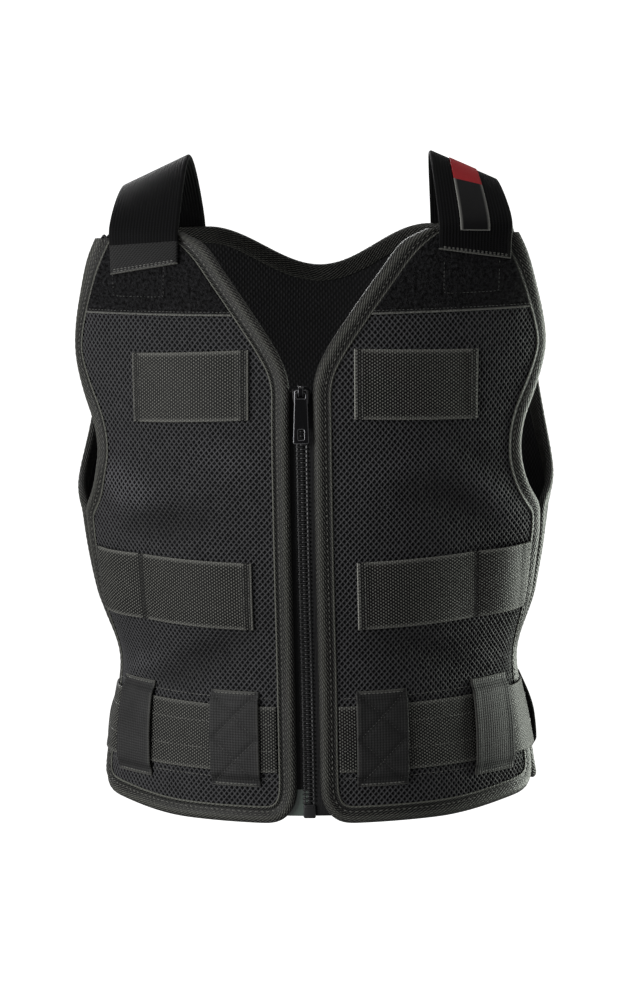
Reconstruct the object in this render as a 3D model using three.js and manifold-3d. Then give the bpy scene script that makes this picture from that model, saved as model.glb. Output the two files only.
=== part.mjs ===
// A zipped tool vest in its worn form: two mesh front panels, a mesh back, webbing tool loops, a waist
// belt with its belt loops, and shoulder straps that fasten on soft loop patches.
// Millimetres, +Z up, the front faces -Y and +X is the wearer's left.
// The origin is where the shoulders carry the vest, midway between the two straps.

import * as THREE from 'three';
import { mergeVertices } from 'three/addons/utils/BufferGeometryUtils.js';
import Module from 'manifold-3d';

const wasm = await Module();
wasm.setup();

// The worn form. Each level is an oval of two arcs to a quarter: a wide one at the front or back, and a
// rounder one at the side whose radius is a share of the depth.
const SIDE_ROUNDING = 0.6;
const TORSO = [
  { z: -520, halfWidth: 172, front: 113, back: 102 },
  { z: -470, halfWidth: 168, front: 113, back: 101 },
  { z: -440, halfWidth: 163, front: 113, back: 99 },
  { z: -385, halfWidth: 155, front: 113, back: 97 },
  { z: -330, halfWidth: 172, front: 117, back: 104 },
  { z: -260, halfWidth: 184, front: 120, back: 112 },
  { z: -190, halfWidth: 187, front: 117, back: 115 },
  { z: -130, halfWidth: 187, front: 105, back: 113 },
  { z: -80, halfWidth: 186, front: 88, back: 104 },
  { z: -40, halfWidth: 184, front: 68, back: 88 },
  { z: 0, halfWidth: 180, front: 40, back: 60 },
];

// Soft folds of the front cloth. A fold is a ridge (or a dent, where its height is below zero) that runs
// at an angle to the level and fades out along its length and across its width.
const FOLDS = [
  { girth: -112, z: -264, angle: 4, length: 34, width: 12, height: -4 },
  { girth: -80, z: -368, angle: 26, length: 40, width: 12, height: -3.5 },
  { girth: -150, z: -240, angle: -20, length: 34, width: 16, height: 3 },
  { girth: 165, z: -258, angle: -38, length: 42, width: 14, height: 3.5 },
  { girth: 118, z: -250, angle: -20, length: 40, width: 14, height: -3 },
  { girth: 100, z: -368, angle: -18, length: 42, width: 12, height: -3 },
];

// Cloth, binding and gaps.
const MESH_THICKNESS = 3;
const BINDING_WIDTH = 12;
const BINDING_WALL = 1;
const BINDING_GAP = 0.6;
const BINDING_END_REACH = 1.15;
const LAYER_GAP = 0.6;

// The front panel's cut, as girth from the centre front.
const HEM_Z = -490;
const HEM_CORNER = 19.5;
const HEM_FRONT_DROP = 8;
const HEM_LEVEL_GIRTH = 100;
const FRONT_GIRTH = 10.5;
const SIDE_GIRTH = 205;
const UNDERARM_Z = -262;
const SHOULDER_Z = -48;
const NECK_RISE = 5;
const NECK_EDGE = [
  { z: -176, girth: 10.5 },
  { z: -158, girth: 10.5 },
  { z: -140, girth: 16 },
  { z: -110, girth: 35 },
  { z: -72, girth: 65 },
  { z: -56, girth: 79 },
  { z: -48, girth: 97 },
];
const FRONT_ARMHOLE = [
  { z: -262, girth: 205 },
  { z: -247, girth: 191 },
  { z: -230, girth: 183 },
  { z: -212, girth: 180 },
  { z: -190, girth: 184 },
  { z: -170, girth: 194 },
  { z: -138, girth: 207 },
  { z: -118, girth: 203 },
  { z: -92, girth: 191 },
  { z: -64, girth: 178 },
  { z: -48, girth: 168 },
];

// The back panel's cut, as girth from the centre back. Its side edge meets the front panel's.
const SIDE_SEAM = 4;
const BACK_NECK_GIRTH = 92;
const BACK_NECK_DROP = 34;
const BACK_ARMHOLE_TOP = [
  { z: -230, girth: 224 },
  { z: -190, girth: 203 },
  { z: -138, girth: 190 },
  { z: -92, girth: 180 },
  { z: -48, girth: 165 },
];

// Rows of the panels, chosen so that webbing edges, seams and cut corners fall on them.
const PANEL_ROWS = [
  -490, -480, -470.5, -459, -433, -407, -395.5, -371, -347, -320, -294, -262,
  -247, -230, -212, -190, -170, -138, -106, -60, -48,
];
const HEM_FADE_Z = -459;
const TOP_FADE_Z = -106;
const FRONT_COLUMNS = 8;
const BACK_COLUMNS = 14;

// Shoulder pieces.
const PATCH_THICKNESS = 1.5;
const PATCH_SEAM_Z = -106;
const PATCH_MARGIN = 1.2;
const STRAP_THICKNESS = 3.5;
const STRAP_FRONT = { innerGirth: 100, outerGirth: 158, innerZ: -63, outerZ: -72 };
const STRAP_BACK = { innerGirth: 92, outerGirth: 146, innerZ: -84, outerZ: -88 };
const STRAP_CREST = { innerX: 94, outerX: 147, y: 8, innerZ: 12, outerZ: -12 };
const STRAP_LEAVES_Z = -40;
const STRAP_ROWS = 16;
const STRAP_COLUMNS = 4;
const LABEL = { firstRow: 4, rows: 4, inner: 0.28, outer: 0.68, thickness: 0.8 };

// Webbing.
const WEBBING_THICKNESS = 1.6;
const WEBBING_STEP = 10;
const CHEST_WEBBING = { from: 40, to: 138, top: -131, height: 53, drop: 4, sewn: [40, 138], bow: 2.2 };
const SIDE_WEBBING = { from: 40, to: 191, top: -294, height: 53, drop: -4, sewn: [40, 137, 191], bow: 2.4 };
const BELT = { z: -433, height: 52, frontGirth: 24, columns: 64, rows: 1 };
const BELT_SIDE_RISE = 2;
const BELT_SIDE_REACH = 20;
const BELT_SIDE_RAMP = 16;

// Belt loops, as strips that pass over the belt and are sewn down above and below it.
const LOOP = { width: 40, height: 75, thickness: 1.5, flat: 6, overhang: 1.5, columns: 3 };
const LOOP_PLACES = [
  { name: 'front', girth: 57, bow: 1 },
  { name: 'side', girth: 155, bow: 2 },
  { name: 'back', girth: 252, bow: 6 },
];

// Zip: a moulded chain, with its slider at the top.
const TAPE = { inner: 5.6, outer: 21, lift: -3.1, thickness: 1, bottom: -494, top: -163 };
const CHAIN = {
  bottom: -484, top: -164.5, pitch: 7, root: 2.4, tip: -1.7, back: 5.2, lift: -4.6, thickness: 4,
};
const TOOTH = { flank: 0.7, crest: 1.6, foot: 0.9 };
const STOP = { width: 9.6, height: 11, top: -484.5, lift: -5.2, thickness: 5.4 };
const SLIDER = {
  z: -166,
  topWidth: 14,
  bottomWidth: 11,
  length: 15,
  shoulder: 5.2,
  wall: 1.6,
  topLift: 0.2,
  bottomLift: -7.9,
};
const SLIDER_POST = { width: 3, length: 2.4, inset: 0.6 };
const LUG = { width: 4, outer: 4, inner: 2.2, rise: 2.6, fromTop: 4.5 };
const PULL = { width: 12, length: 40, thickness: 2, bar: 2.4, eyeWidth: 6.6, eyeEnd: 5.4, corner: 2 };
const PULL_SLOT = { width: 4.5, from: 31, to: 36 };

const COLOURS = {
  mesh: { color: 0x1c1c1d, roughness: 0.85, metalness: 0 },
  binding: { color: 0x242424, roughness: 0.8, metalness: 0 },
  webbing: { color: 0x35352f, roughness: 0.75, metalness: 0 },
  loopPile: { color: 0x141415, roughness: 0.95, metalness: 0 },
  strap: { color: 0x17171a, roughness: 0.8, metalness: 0 },
  label: { color: 0x151515, roughness: 0.6, metalness: 0 },
  zipTape: { color: 0x18181a, roughness: 0.8, metalness: 0 },
  zipPlastic: { color: 0x131314, roughness: 0.4, metalness: 0 },
  zipMetal: { color: 0x0e0e0f, roughness: 0.35, metalness: 0.6 },
};

const SIDES = [
  { name: 'right', sign: -1 },
  { name: 'left', sign: 1 },
];

const mix = (a, b, t) => a + (b - a) * t;
const clamp01 = (t) => Math.min(1, Math.max(0, t));
const smooth = (t) => clamp01(t) ** 2 * (3 - 2 * clamp01(t));

// Smooth curve through the rows of a table, by height.
function through(rows, column, z) {
  const last = rows.length - 2;
  const found = rows.findIndex((row) => row.z > z) - 1;
  const i = found === -2 ? last : Math.min(last, Math.max(0, found));
  const slopeAt = (k) => {
    const before = rows[Math.max(0, k - 1)];
    const after = rows[Math.min(rows.length - 1, k + 1)];
    return (after[column] - before[column]) / (after.z - before.z);
  };
  const span = rows[i + 1].z - rows[i].z;
  const t = (z - rows[i].z) / span;
  const rise = t * t * (3 - 2 * t);
  const bend = slopeAt(i) * t * (1 - t) ** 2 - slopeAt(i + 1) * t * t * (1 - t);
  return mix(rows[i][column], rows[i + 1][column], rise) + span * bend;
}

// Quarter of an oval: its two radii, the angle where they meet and its length.
function quarter(halfWidth, depth) {
  const side = SIDE_ROUNDING * depth;
  const wide = ((halfWidth - side) ** 2 + depth ** 2 - side ** 2) / (2 * (depth - side));
  const angle = Math.asin((halfWidth - side) / (wide - side));
  const wideLength = wide * angle;
  const length = wideLength + side * (Math.PI / 2 - angle);
  return { halfWidth, depth, side, wide, angle, wideLength, length };
}

// Place on a quarter at a girth from its middle, lifted off the surface.
function onQuarter(q, girth, lift) {
  const onWide = girth <= q.wideLength;
  const angle = onWide ? girth / q.wide : q.angle + (girth - q.wideLength) / q.side;
  const radius = (onWide ? q.wide : q.side) + lift;
  const middle = onWide ? { x: 0, y: q.depth - q.wide } : { x: q.halfWidth - q.side, y: 0 };
  return { x: middle.x + radius * Math.sin(angle), y: middle.y + radius * Math.cos(angle) };
}

const frontQuarter = (z) => quarter(through(TORSO, 'halfWidth', z), through(TORSO, 'front', z));
const backQuarter = (z) => quarter(through(TORSO, 'halfWidth', z), through(TORSO, 'back', z));
const halfGirth = (z) => frontQuarter(z).length + backQuarter(z).length;

// Outward rise of the cloth's folds at a place of the front.
function foldRise(girth, z) {
  let rise = 0;
  for (const fold of FOLDS) {
    const turn = THREE.MathUtils.degToRad(fold.angle);
    const along = (girth - fold.girth) * Math.cos(turn) + (z - fold.z) * Math.sin(turn);
    const across = (z - fold.z) * Math.cos(turn) - (girth - fold.girth) * Math.sin(turn);
    rise += fold.height * Math.exp(-((along / fold.length) ** 2) - (across / fold.width) ** 2);
  }
  return rise;
}

// Point of the worn form at a girth from the centre front (+ to the wearer's left), a height and a lift.
function fromFront(girth, z, lift) {
  const front = frontQuarter(z);
  const distance = Math.abs(girth);
  const inFront = distance <= front.length;
  const raised = lift + (inFront ? foldRise(girth, z) : 0);
  const p = inFront
    ? onQuarter(front, distance, raised)
    : onQuarter(backQuarter(z), Math.max(0, halfGirth(z) - distance), raised);
  return new THREE.Vector3(Math.sign(girth) * p.x, inFront ? -p.y : p.y, z);
}

// The same, at a girth from the centre back.
function fromBack(girth, z, lift) {
  const side = girth < 0 ? -1 : 1;
  const distance = Math.abs(girth);
  const back = backQuarter(z);
  if (distance > back.length) return fromFront(side * (halfGirth(z) - distance), z, lift);
  const p = onQuarter(back, distance, lift);
  return new THREE.Vector3(side * p.x, p.y, z);
}

// Closed geometry from points and triangles, turned so that its faces point out.
function closedGeometry(points, triangles) {
  let volume = 0;
  for (const [a, b, c] of triangles) {
    volume += points[a].dot(new THREE.Vector3().crossVectors(points[b], points[c]));
  }
  const geometry = new THREE.BufferGeometry();
  geometry.setFromPoints(points);
  geometry.setIndex((volume < 0 ? triangles.map(([a, b, c]) => [a, c, b]) : triangles).flat());
  geometry.computeVertexNormals();
  return geometry;
}

// Slab over a grid: place(column, row, face) gives a point of its inner (0) or outer (1) face.
function slab(columns, rows, place) {
  const points = [];
  const triangles = [];
  const index = (i, j, face) => (face * (rows + 1) + j) * (columns + 1) + i;
  const quad = (a, b, c, d) => triangles.push([a, b, c], [a, c, d]);
  for (let face = 0; face < 2; face += 1) {
    for (let j = 0; j <= rows; j += 1) {
      for (let i = 0; i <= columns; i += 1) points.push(place(i, j, face));
    }
  }
  for (let j = 0; j < rows; j += 1) {
    for (let i = 0; i < columns; i += 1) {
      quad(index(i, j, 0), index(i, j + 1, 0), index(i + 1, j + 1, 0), index(i + 1, j, 0));
      quad(index(i, j, 1), index(i + 1, j, 1), index(i + 1, j + 1, 1), index(i, j + 1, 1));
    }
    quad(index(0, j, 0), index(0, j, 1), index(0, j + 1, 1), index(0, j + 1, 0));
    quad(index(columns, j, 0), index(columns, j + 1, 0), index(columns, j + 1, 1), index(columns, j, 1));
  }
  for (let i = 0; i < columns; i += 1) {
    quad(index(i, 0, 0), index(i + 1, 0, 0), index(i + 1, 0, 1), index(i, 0, 1));
    quad(index(i, rows, 0), index(i, rows, 1), index(i + 1, rows, 1), index(i + 1, rows, 0));
  }
  return closedGeometry(points, triangles);
}

// A flat section carried through stations, with closed ends: place(station, corner) gives each point.
// Both legs of a folded section are split along the same diagonals.
function sweep(stations, section, place) {
  const count = section.length;
  const points = stations.flatMap((station) => section.map((corner) => place(station, corner)));
  const triangles = [];
  for (let k = 0; k + 1 < stations.length; k += 1) {
    for (let c = 0; c < count; c += 1) {
      const next = (c + 1) % count;
      const [a, b] = [k * count + c, k * count + next];
      if (section[c].depth > section[next].depth) {
        triangles.push([a, b, a + count], [b, b + count, a + count]);
      } else {
        triangles.push([a, b, b + count], [a, b + count, a + count]);
      }
    }
  }
  const contour = section.map((corner) => new THREE.Vector2(corner.depth, corner.lift));
  const end = (stations.length - 1) * count;
  for (const [a, b, c] of THREE.ShapeUtils.triangulateShape(contour, [])) {
    if (THREE.ShapeUtils.isClockWise(contour)) {
      triangles.push([a, b, c], [end + a, end + c, end + b]);
    } else {
      triangles.push([a, c, b], [end + a, end + b, end + c]);
    }
  }
  return closedGeometry(points, triangles);
}

// Boolean sum of overlapping geometries.
function join(geometries) {
  const solids = geometries.map((geometry) => {
    const bare = geometry.index ? geometry.clone() : geometry;
    bare.deleteAttribute('normal');
    if (bare.hasAttribute('uv')) bare.deleteAttribute('uv');
    const merged = mergeVertices(bare);
    return new wasm.Manifold(new wasm.Mesh({
      numProp: 3,
      vertProperties: new Float32Array(merged.attributes.position.array),
      triVerts: new Uint32Array(merged.index.array),
    }));
  });
  const mesh = solids.reduce((sum, solid) => sum.add(solid)).getMesh();
  const geometry = new THREE.BufferGeometry();
  geometry.setAttribute('position', new THREE.BufferAttribute(new Float32Array(mesh.vertProperties), 3));
  geometry.setIndex(new THREE.BufferAttribute(new Uint32Array(mesh.triVerts), 1));
  geometry.computeVertexNormals();
  return geometry;
}

const vest = new THREE.Group();

function add(parent, name, geometry, finish) {
  const mesh = new THREE.Mesh(geometry, new THREE.MeshStandardMaterial(COLOURS[finish]));
  mesh.name = name;
  parent.add(mesh);
  return mesh;
}

// Cut of the panels: how far a hem corner pulls the edge in, and the edges by row height.
function cornerInset(z) {
  const rise = z - HEM_Z;
  return rise >= HEM_CORNER ? 0 : HEM_CORNER - Math.sqrt(HEM_CORNER ** 2 - (HEM_CORNER - rise) ** 2);
}
const frontEdge = (z) => (z < NECK_EDGE[0].z ? FRONT_GIRTH : through(NECK_EDGE, 'girth', z)) + cornerInset(z);
const sideEdge = (z) => (z <= UNDERARM_Z ? SIDE_GIRTH : through(FRONT_ARMHOLE, 'girth', z)) - cornerInset(z);

const backSeam = (z) => halfGirth(z) - SIDE_GIRTH - SIDE_SEAM;
const BACK_ARMHOLE = [{ z: UNDERARM_Z, girth: backSeam(UNDERARM_Z) }, ...BACK_ARMHOLE_TOP];
const backEdge = (z) => (z <= UNDERARM_Z ? backSeam(z) : through(BACK_ARMHOLE, 'girth', z)) - cornerInset(z);

// Rows of the side edges of a panel, from the hem up, and the places of its two side edges on each row.
const lastRow = PANEL_ROWS.length - 1;
const rowShare = (j) => (PANEL_ROWS[j] - HEM_Z) / (SHOULDER_Z - HEM_Z);
const countTo = (n) => Array.from({ length: n + 1 }, (_, k) => k);

// The front hem drops towards the zip, and the front edge rises to the neck.
const hemDrop = (girth) => (
  HEM_FRONT_DROP * (1 - smooth((girth - HEM_LEVEL_GIRTH) / (SIDE_GIRTH - HEM_LEVEL_GIRTH)))
);
function frontEdgePlace(j) {
  const z = PANEL_ROWS[j];
  const girth = frontEdge(z);
  const nearHem = clamp01((HEM_FADE_Z - z) / (HEM_FADE_Z - HEM_Z));
  const nearTop = clamp01((z - TOP_FADE_Z) / (SHOULDER_Z - TOP_FADE_Z));
  return { girth, z: z - nearHem * hemDrop(girth) + nearTop * NECK_RISE };
}
const sideEdgePlace = (j) => ({ girth: sideEdge(PANEL_ROWS[j]), z: PANEL_ROWS[j] });
const backEdgePlace = (j, sign) => ({ girth: sign * backEdge(PANEL_ROWS[j]), z: PANEL_ROWS[j] });

// Stations along a bound edge: the cut edge, and the place a binding's width inside it, mitred at the
// bends. The cloth lies to the left of the way, and at both ends the binding is cut along the top edge.
function boundStations(edge) {
  const leftOf = (a, b) => new THREE.Vector2(a.z - b.z, b.girth - a.girth).normalize();
  return edge.map((place, k) => {
    let inward = new THREE.Vector2(k === 0 ? BINDING_END_REACH : -BINDING_END_REACH, 0);
    if (k > 0 && k + 1 < edge.length) {
      const first = leftOf(edge[k - 1], place);
      const second = leftOf(place, edge[k + 1]);
      inward = first.clone().add(second).divideScalar(1 + first.dot(second));
    }
    const inner = {
      girth: place.girth + inward.x * BINDING_WIDTH,
      z: place.z + inward.y * BINDING_WIDTH,
    };
    return { edge: place, inner };
  });
}

// A panel's cut: its bound edge from the top of one side, along the hem, to the top of the other.
function panelCut(columns, firstSide, hemDropAt, secondSide) {
  const rowsUp = countTo(lastRow);
  const first = rowsUp.map(firstSide);
  const second = rowsUp.map(secondSide);
  const hem = countTo(columns).slice(1, -1).map((i) => {
    const girth = mix(first[0].girth, second[0].girth, i / columns);
    return { girth, z: HEM_Z - hemDropAt(girth) };
  });
  return boundStations([...first.reverse(), ...hem, ...second]);
}

// Place inside the binding, blended from the four sides of the cut. The top edge may dip between its ends.
function insidePlace(cut, columns, dip, i, j) {
  const firstSide = (row) => cut[lastRow - row].inner;
  const secondSide = (row) => cut[lastRow + columns + row].inner;
  const hem = (column) => cut[lastRow + column].inner;
  const [u, v] = [i / columns, rowShare(j)];
  const blend = (key) => {
    const acrossRow = mix(firstSide(j)[key], secondSide(j)[key], u);
    const hemBend = hem(i)[key] - mix(firstSide(0)[key], secondSide(0)[key], u);
    return acrossRow + (1 - v) * hemBend;
  };
  const girth = blend('girth');
  return { girth, z: blend('z') - v * dip(mix(firstSide(lastRow).girth, secondSide(lastRow).girth, u)) };
}

// Mesh panel: a strip of cloth along the bound edge, and the cloth inside it.
function panel(cut, columns, dip, onForm, sign) {
  const points = [];
  const triangles = [];
  const quad = (a, b, c, d) => triangles.push([a, b, c], [a, c, d]);
  const across = columns + 1;
  const faceSize = cut.length + across * (lastRow + 1);
  for (let face = 0; face < 2; face += 1) {
    const lift = face * MESH_THICKNESS;
    for (const { edge } of cut) points.push(onForm(sign * edge.girth, edge.z, lift));
    for (let j = 0; j <= lastRow; j += 1) {
      for (let i = 0; i <= columns; i += 1) {
        const { girth, z } = insidePlace(cut, columns, dip, i, j);
        points.push(onForm(sign * girth, z, lift));
      }
    }
  }
  const inside = (i, j) => cut.length + j * across + i;
  const beside = (k) => {
    if (k <= lastRow) return inside(0, lastRow - k);
    return k < lastRow + columns ? inside(k - lastRow, 0) : inside(columns, k - lastRow - columns);
  };
  const both = (a, b, c, d) => {
    quad(a, d, c, b);
    quad(a + faceSize, b + faceSize, c + faceSize, d + faceSize);
  };
  const rim = (a, b) => quad(a, b, b + faceSize, a + faceSize);
  for (let k = 0; k + 1 < cut.length; k += 1) {
    both(k, k + 1, beside(k + 1), beside(k));
    rim(k, k + 1);
  }
  for (let j = 0; j < lastRow; j += 1) {
    for (let i = 0; i < columns; i += 1) {
      both(inside(i, j), inside(i + 1, j), inside(i + 1, j + 1), inside(i, j + 1));
    }
  }
  const last = cut.length - 1;
  const topEdge = [last, ...countTo(columns).reverse().map((i) => inside(i, lastRow)), 0];
  for (let k = 0; k + 1 < topEdge.length; k += 1) rim(topEdge[k], topEdge[k + 1]);
  return closedGeometry(points, triangles);
}

// Binding: a folded tape whose two legs lie along the edge of the cloth, one on each face.
const legTop = MESH_THICKNESS + BINDING_GAP + BINDING_WALL;
const legBottom = -BINDING_GAP - BINDING_WALL;
const nose = -BINDING_GAP - BINDING_WALL;
const BINDING_SECTION = [
  { depth: BINDING_WIDTH, lift: legTop - BINDING_WALL },
  { depth: BINDING_WIDTH, lift: legTop },
  { depth: 0, lift: legTop },
  { depth: nose, lift: MESH_THICKNESS },
  { depth: nose, lift: 0 },
  { depth: 0, lift: legBottom },
  { depth: BINDING_WIDTH, lift: legBottom },
  { depth: BINDING_WIDTH, lift: -BINDING_GAP },
  { depth: -BINDING_GAP, lift: -BINDING_GAP },
  { depth: -BINDING_GAP, lift: legTop - BINDING_WALL },
];
function binding(stations, onForm, sign) {
  return sweep(stations, BINDING_SECTION, ({ edge, inner }, corner) => {
    const share = corner.depth / BINDING_WIDTH;
    return onForm(sign * mix(edge.girth, inner.girth, share), mix(edge.z, inner.z, share), corner.lift);
  });
}

const straightTop = () => 0;
const frontCut = panelCut(FRONT_COLUMNS, frontEdgePlace, hemDrop, sideEdgePlace);
for (const { name, sign } of SIDES) {
  add(vest, `front_panel_${name}`, panel(frontCut, FRONT_COLUMNS, straightTop, fromFront, sign), 'mesh');
  add(vest, `front_binding_${name}`, binding(frontCut, fromFront, sign), 'binding');
}

// Back panel, with a level hem and a round neck.
const neckDip = (girth) => (
  BACK_NECK_DROP * Math.cos(Math.min(1, Math.abs(girth) / BACK_NECK_GIRTH) * (Math.PI / 2)) ** 2
);
const backCut = panelCut(BACK_COLUMNS, (j) => backEdgePlace(j, -1), () => 0, (j) => backEdgePlace(j, 1));
add(vest, 'back_panel', panel(backCut, BACK_COLUMNS, neckDip, fromBack, 1), 'mesh');
add(vest, 'back_binding', binding(backCut, fromBack, 1), 'binding');
const backNeck = countTo(BACK_COLUMNS).reverse().map((i) => ({
  edge: insidePlace(backCut, BACK_COLUMNS, neckDip, i, lastRow),
  inner: insidePlace(backCut, BACK_COLUMNS, neckDip, i, lastRow - 1),
})).filter(({ edge }) => Math.abs(edge.girth) < BACK_NECK_GIRTH);
add(vest, 'back_neck_binding', binding(backNeck, fromBack, 1), 'binding');

// Loop patches: the soft pile that covers the top of each front, inside the bindings.
const layerLift = MESH_THICKNESS + LAYER_GAP;
const seamRow = PANEL_ROWS.indexOf(PATCH_SEAM_Z);
for (const { name, sign } of SIDES) {
  const patch = slab(FRONT_COLUMNS, lastRow - seamRow, (i, j, face) => {
    const place = insidePlace(frontCut, FRONT_COLUMNS, straightTop, i, seamRow + j);
    const margin = PATCH_MARGIN * ((i === 0) - (i === FRONT_COLUMNS));
    return fromFront(sign * (place.girth + margin), place.z, layerLift + face * PATCH_THICKNESS);
  });
  add(vest, `loop_patch_${name}`, patch, 'loopPile');
}

// A strap's underside along one line from front to back, at a share of its width from the neck side.
const strapLift = layerLift + PATCH_THICKNESS + LAYER_GAP;
function strapLine(across, sign) {
  const frontGirth = sign * mix(STRAP_FRONT.innerGirth, STRAP_FRONT.outerGirth, across);
  const backGirth = sign * mix(STRAP_BACK.innerGirth, STRAP_BACK.outerGirth, across);
  const frontZ = mix(STRAP_FRONT.innerZ, STRAP_FRONT.outerZ, across);
  const backZ = mix(STRAP_BACK.innerZ, STRAP_BACK.outerZ, across);
  const crest = new THREE.Vector3(
    sign * mix(STRAP_CREST.innerX, STRAP_CREST.outerX, across),
    STRAP_CREST.y,
    mix(STRAP_CREST.innerZ, STRAP_CREST.outerZ, across),
  );
  return new THREE.CatmullRomCurve3([
    fromFront(frontGirth, frontZ, strapLift),
    fromFront(frontGirth, mix(frontZ, STRAP_LEAVES_Z, 0.5), strapLift),
    fromFront(frontGirth, STRAP_LEAVES_Z, strapLift),
    crest,
    fromBack(backGirth, STRAP_LEAVES_Z, layerLift),
    fromBack(backGirth, mix(STRAP_LEAVES_Z, backZ, 0.5), layerLift),
    fromBack(backGirth, backZ, layerLift),
  ], false, 'centripetal');
}

// Point of a strap: its underside, raised along the normal of its lines.
function strapPoint(across, along, rise, sign) {
  const step = 0.02;
  const line = strapLine(across, sign);
  const point = line.getPoint(along);
  const beside = strapLine(across + step, sign).getPoint(along).sub(point);
  const normal = new THREE.Vector3().crossVectors(line.getTangent(along), beside).normalize();
  return point.addScaledVector(normal, -sign * rise);
}
for (const { name, sign } of SIDES) {
  const strap = slab(STRAP_COLUMNS, STRAP_ROWS, (i, j, face) => (
    strapPoint(i / STRAP_COLUMNS, j / STRAP_ROWS, face * STRAP_THICKNESS, sign)
  ));
  add(vest, `shoulder_strap_${name}`, strap, 'strap');
}
const labelColumns = 2;
add(vest, 'strap_label', slab(labelColumns, LABEL.rows, (i, j, face) => strapPoint(
  mix(LABEL.inner, LABEL.outer, i / labelColumns),
  (LABEL.firstRow + j) / STRAP_ROWS,
  STRAP_THICKNESS + LAYER_GAP + face * LABEL.thickness,
  1,
)), 'label');

// Webbing tool loops: sewn down at their seams, and bowed off the cloth between them.
function webbing(sizes, sign) {
  const columns = Math.ceil((sizes.to - sizes.from) / WEBBING_STEP);
  const rows = 2;
  return slab(columns, rows, (i, j, face) => {
    const girth = mix(sizes.from, sizes.to, i / columns);
    const next = sizes.sewn.findIndex((seam) => seam >= girth && seam > sizes.from);
    const share = (girth - sizes.sewn[next - 1]) / (sizes.sewn[next] - sizes.sewn[next - 1]);
    const bow = sizes.bow * Math.sin(Math.PI * share) ** 2;
    const z = sizes.top - sizes.drop * (i / columns) - sizes.height * (1 - j / rows);
    return fromFront(sign * girth, z, layerLift + bow + face * WEBBING_THICKNESS);
  });
}
for (const { name, sign } of SIDES) {
  add(vest, `chest_webbing_${name}`, webbing(CHEST_WEBBING, sign), 'webbing');
  add(vest, `side_webbing_${name}`, webbing(SIDE_WEBBING, sign), 'webbing');
}

// Waist belt: from one front edge round the back to the other, over the bound side edges.
function beltLift(girth) {
  const fromSeam = Math.abs(Math.abs(girth) - SIDE_GIRTH) - BELT_SIDE_REACH;
  return layerLift + BELT_SIDE_RISE * (1 - smooth(fromSeam / BELT_SIDE_RAMP));
}
add(vest, 'waist_belt', slab(BELT.columns, BELT.rows, (i, j, face) => {
  const z = BELT.z + BELT.height * (j / BELT.rows - 0.5);
  const fromBackCentre = mix(-1, 1, i / BELT.columns) * (halfGirth(z) - BELT.frontGirth);
  const girth = halfGirth(z) - Math.abs(fromBackCentre);
  return fromBack(fromBackCentre, z, beltLift(girth) + face * WEBBING_THICKNESS);
}), 'webbing');

// Belt loops. Each row has its height from the belt's middle and whether it is sewn down or raised.
const loopEdge = LOOP.height / 2;
const loopOver = BELT.height / 2 + LOOP.overhang;
const LOOP_ROWS = [
  { z: -loopEdge, raised: 0 },
  { z: -loopEdge + LOOP.flat, raised: 0 },
  { z: -loopOver, raised: 1 },
  { z: -loopOver / 2, raised: 1 },
  { z: 0, raised: 1 },
  { z: loopOver / 2, raised: 1 },
  { z: loopOver, raised: 1 },
  { z: loopEdge - LOOP.flat, raised: 0 },
  { z: loopEdge, raised: 0 },
];
for (const { name: place, girth: middle, bow } of LOOP_PLACES) {
  for (const { name, sign } of SIDES) {
    const loop = slab(LOOP.columns, LOOP_ROWS.length - 1, (i, j, face) => {
      const row = LOOP_ROWS[j];
      const girth = middle + LOOP.width * (i / LOOP.columns - 0.5);
      const standOff = bow * Math.cos((Math.PI / 2) * (row.z / loopEdge));
      const over = beltLift(girth) + WEBBING_THICKNESS + LAYER_GAP + standOff;
      const lift = mix(layerLift, over, row.raised) + face * LOOP.thickness;
      return fromFront(sign * girth, BELT.z + row.z, lift);
    });
    add(vest, `belt_loop_${place}_${name}`, loop, 'webbing');
  }
}

// Zip tapes behind the front edges, and the two halves of the chain.
const tapeRows = 10;
for (const { name, sign } of SIDES) {
  const tape = slab(2, tapeRows, (i, j, face) => fromFront(
    sign * mix(TAPE.inner, TAPE.outer, i / 2),
    mix(TAPE.bottom, TAPE.top, j / tapeRows),
    TAPE.lift + face * TAPE.thickness,
  ));
  add(vest, `zip_tape_${name}`, tape, 'zipTape');
}

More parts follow.
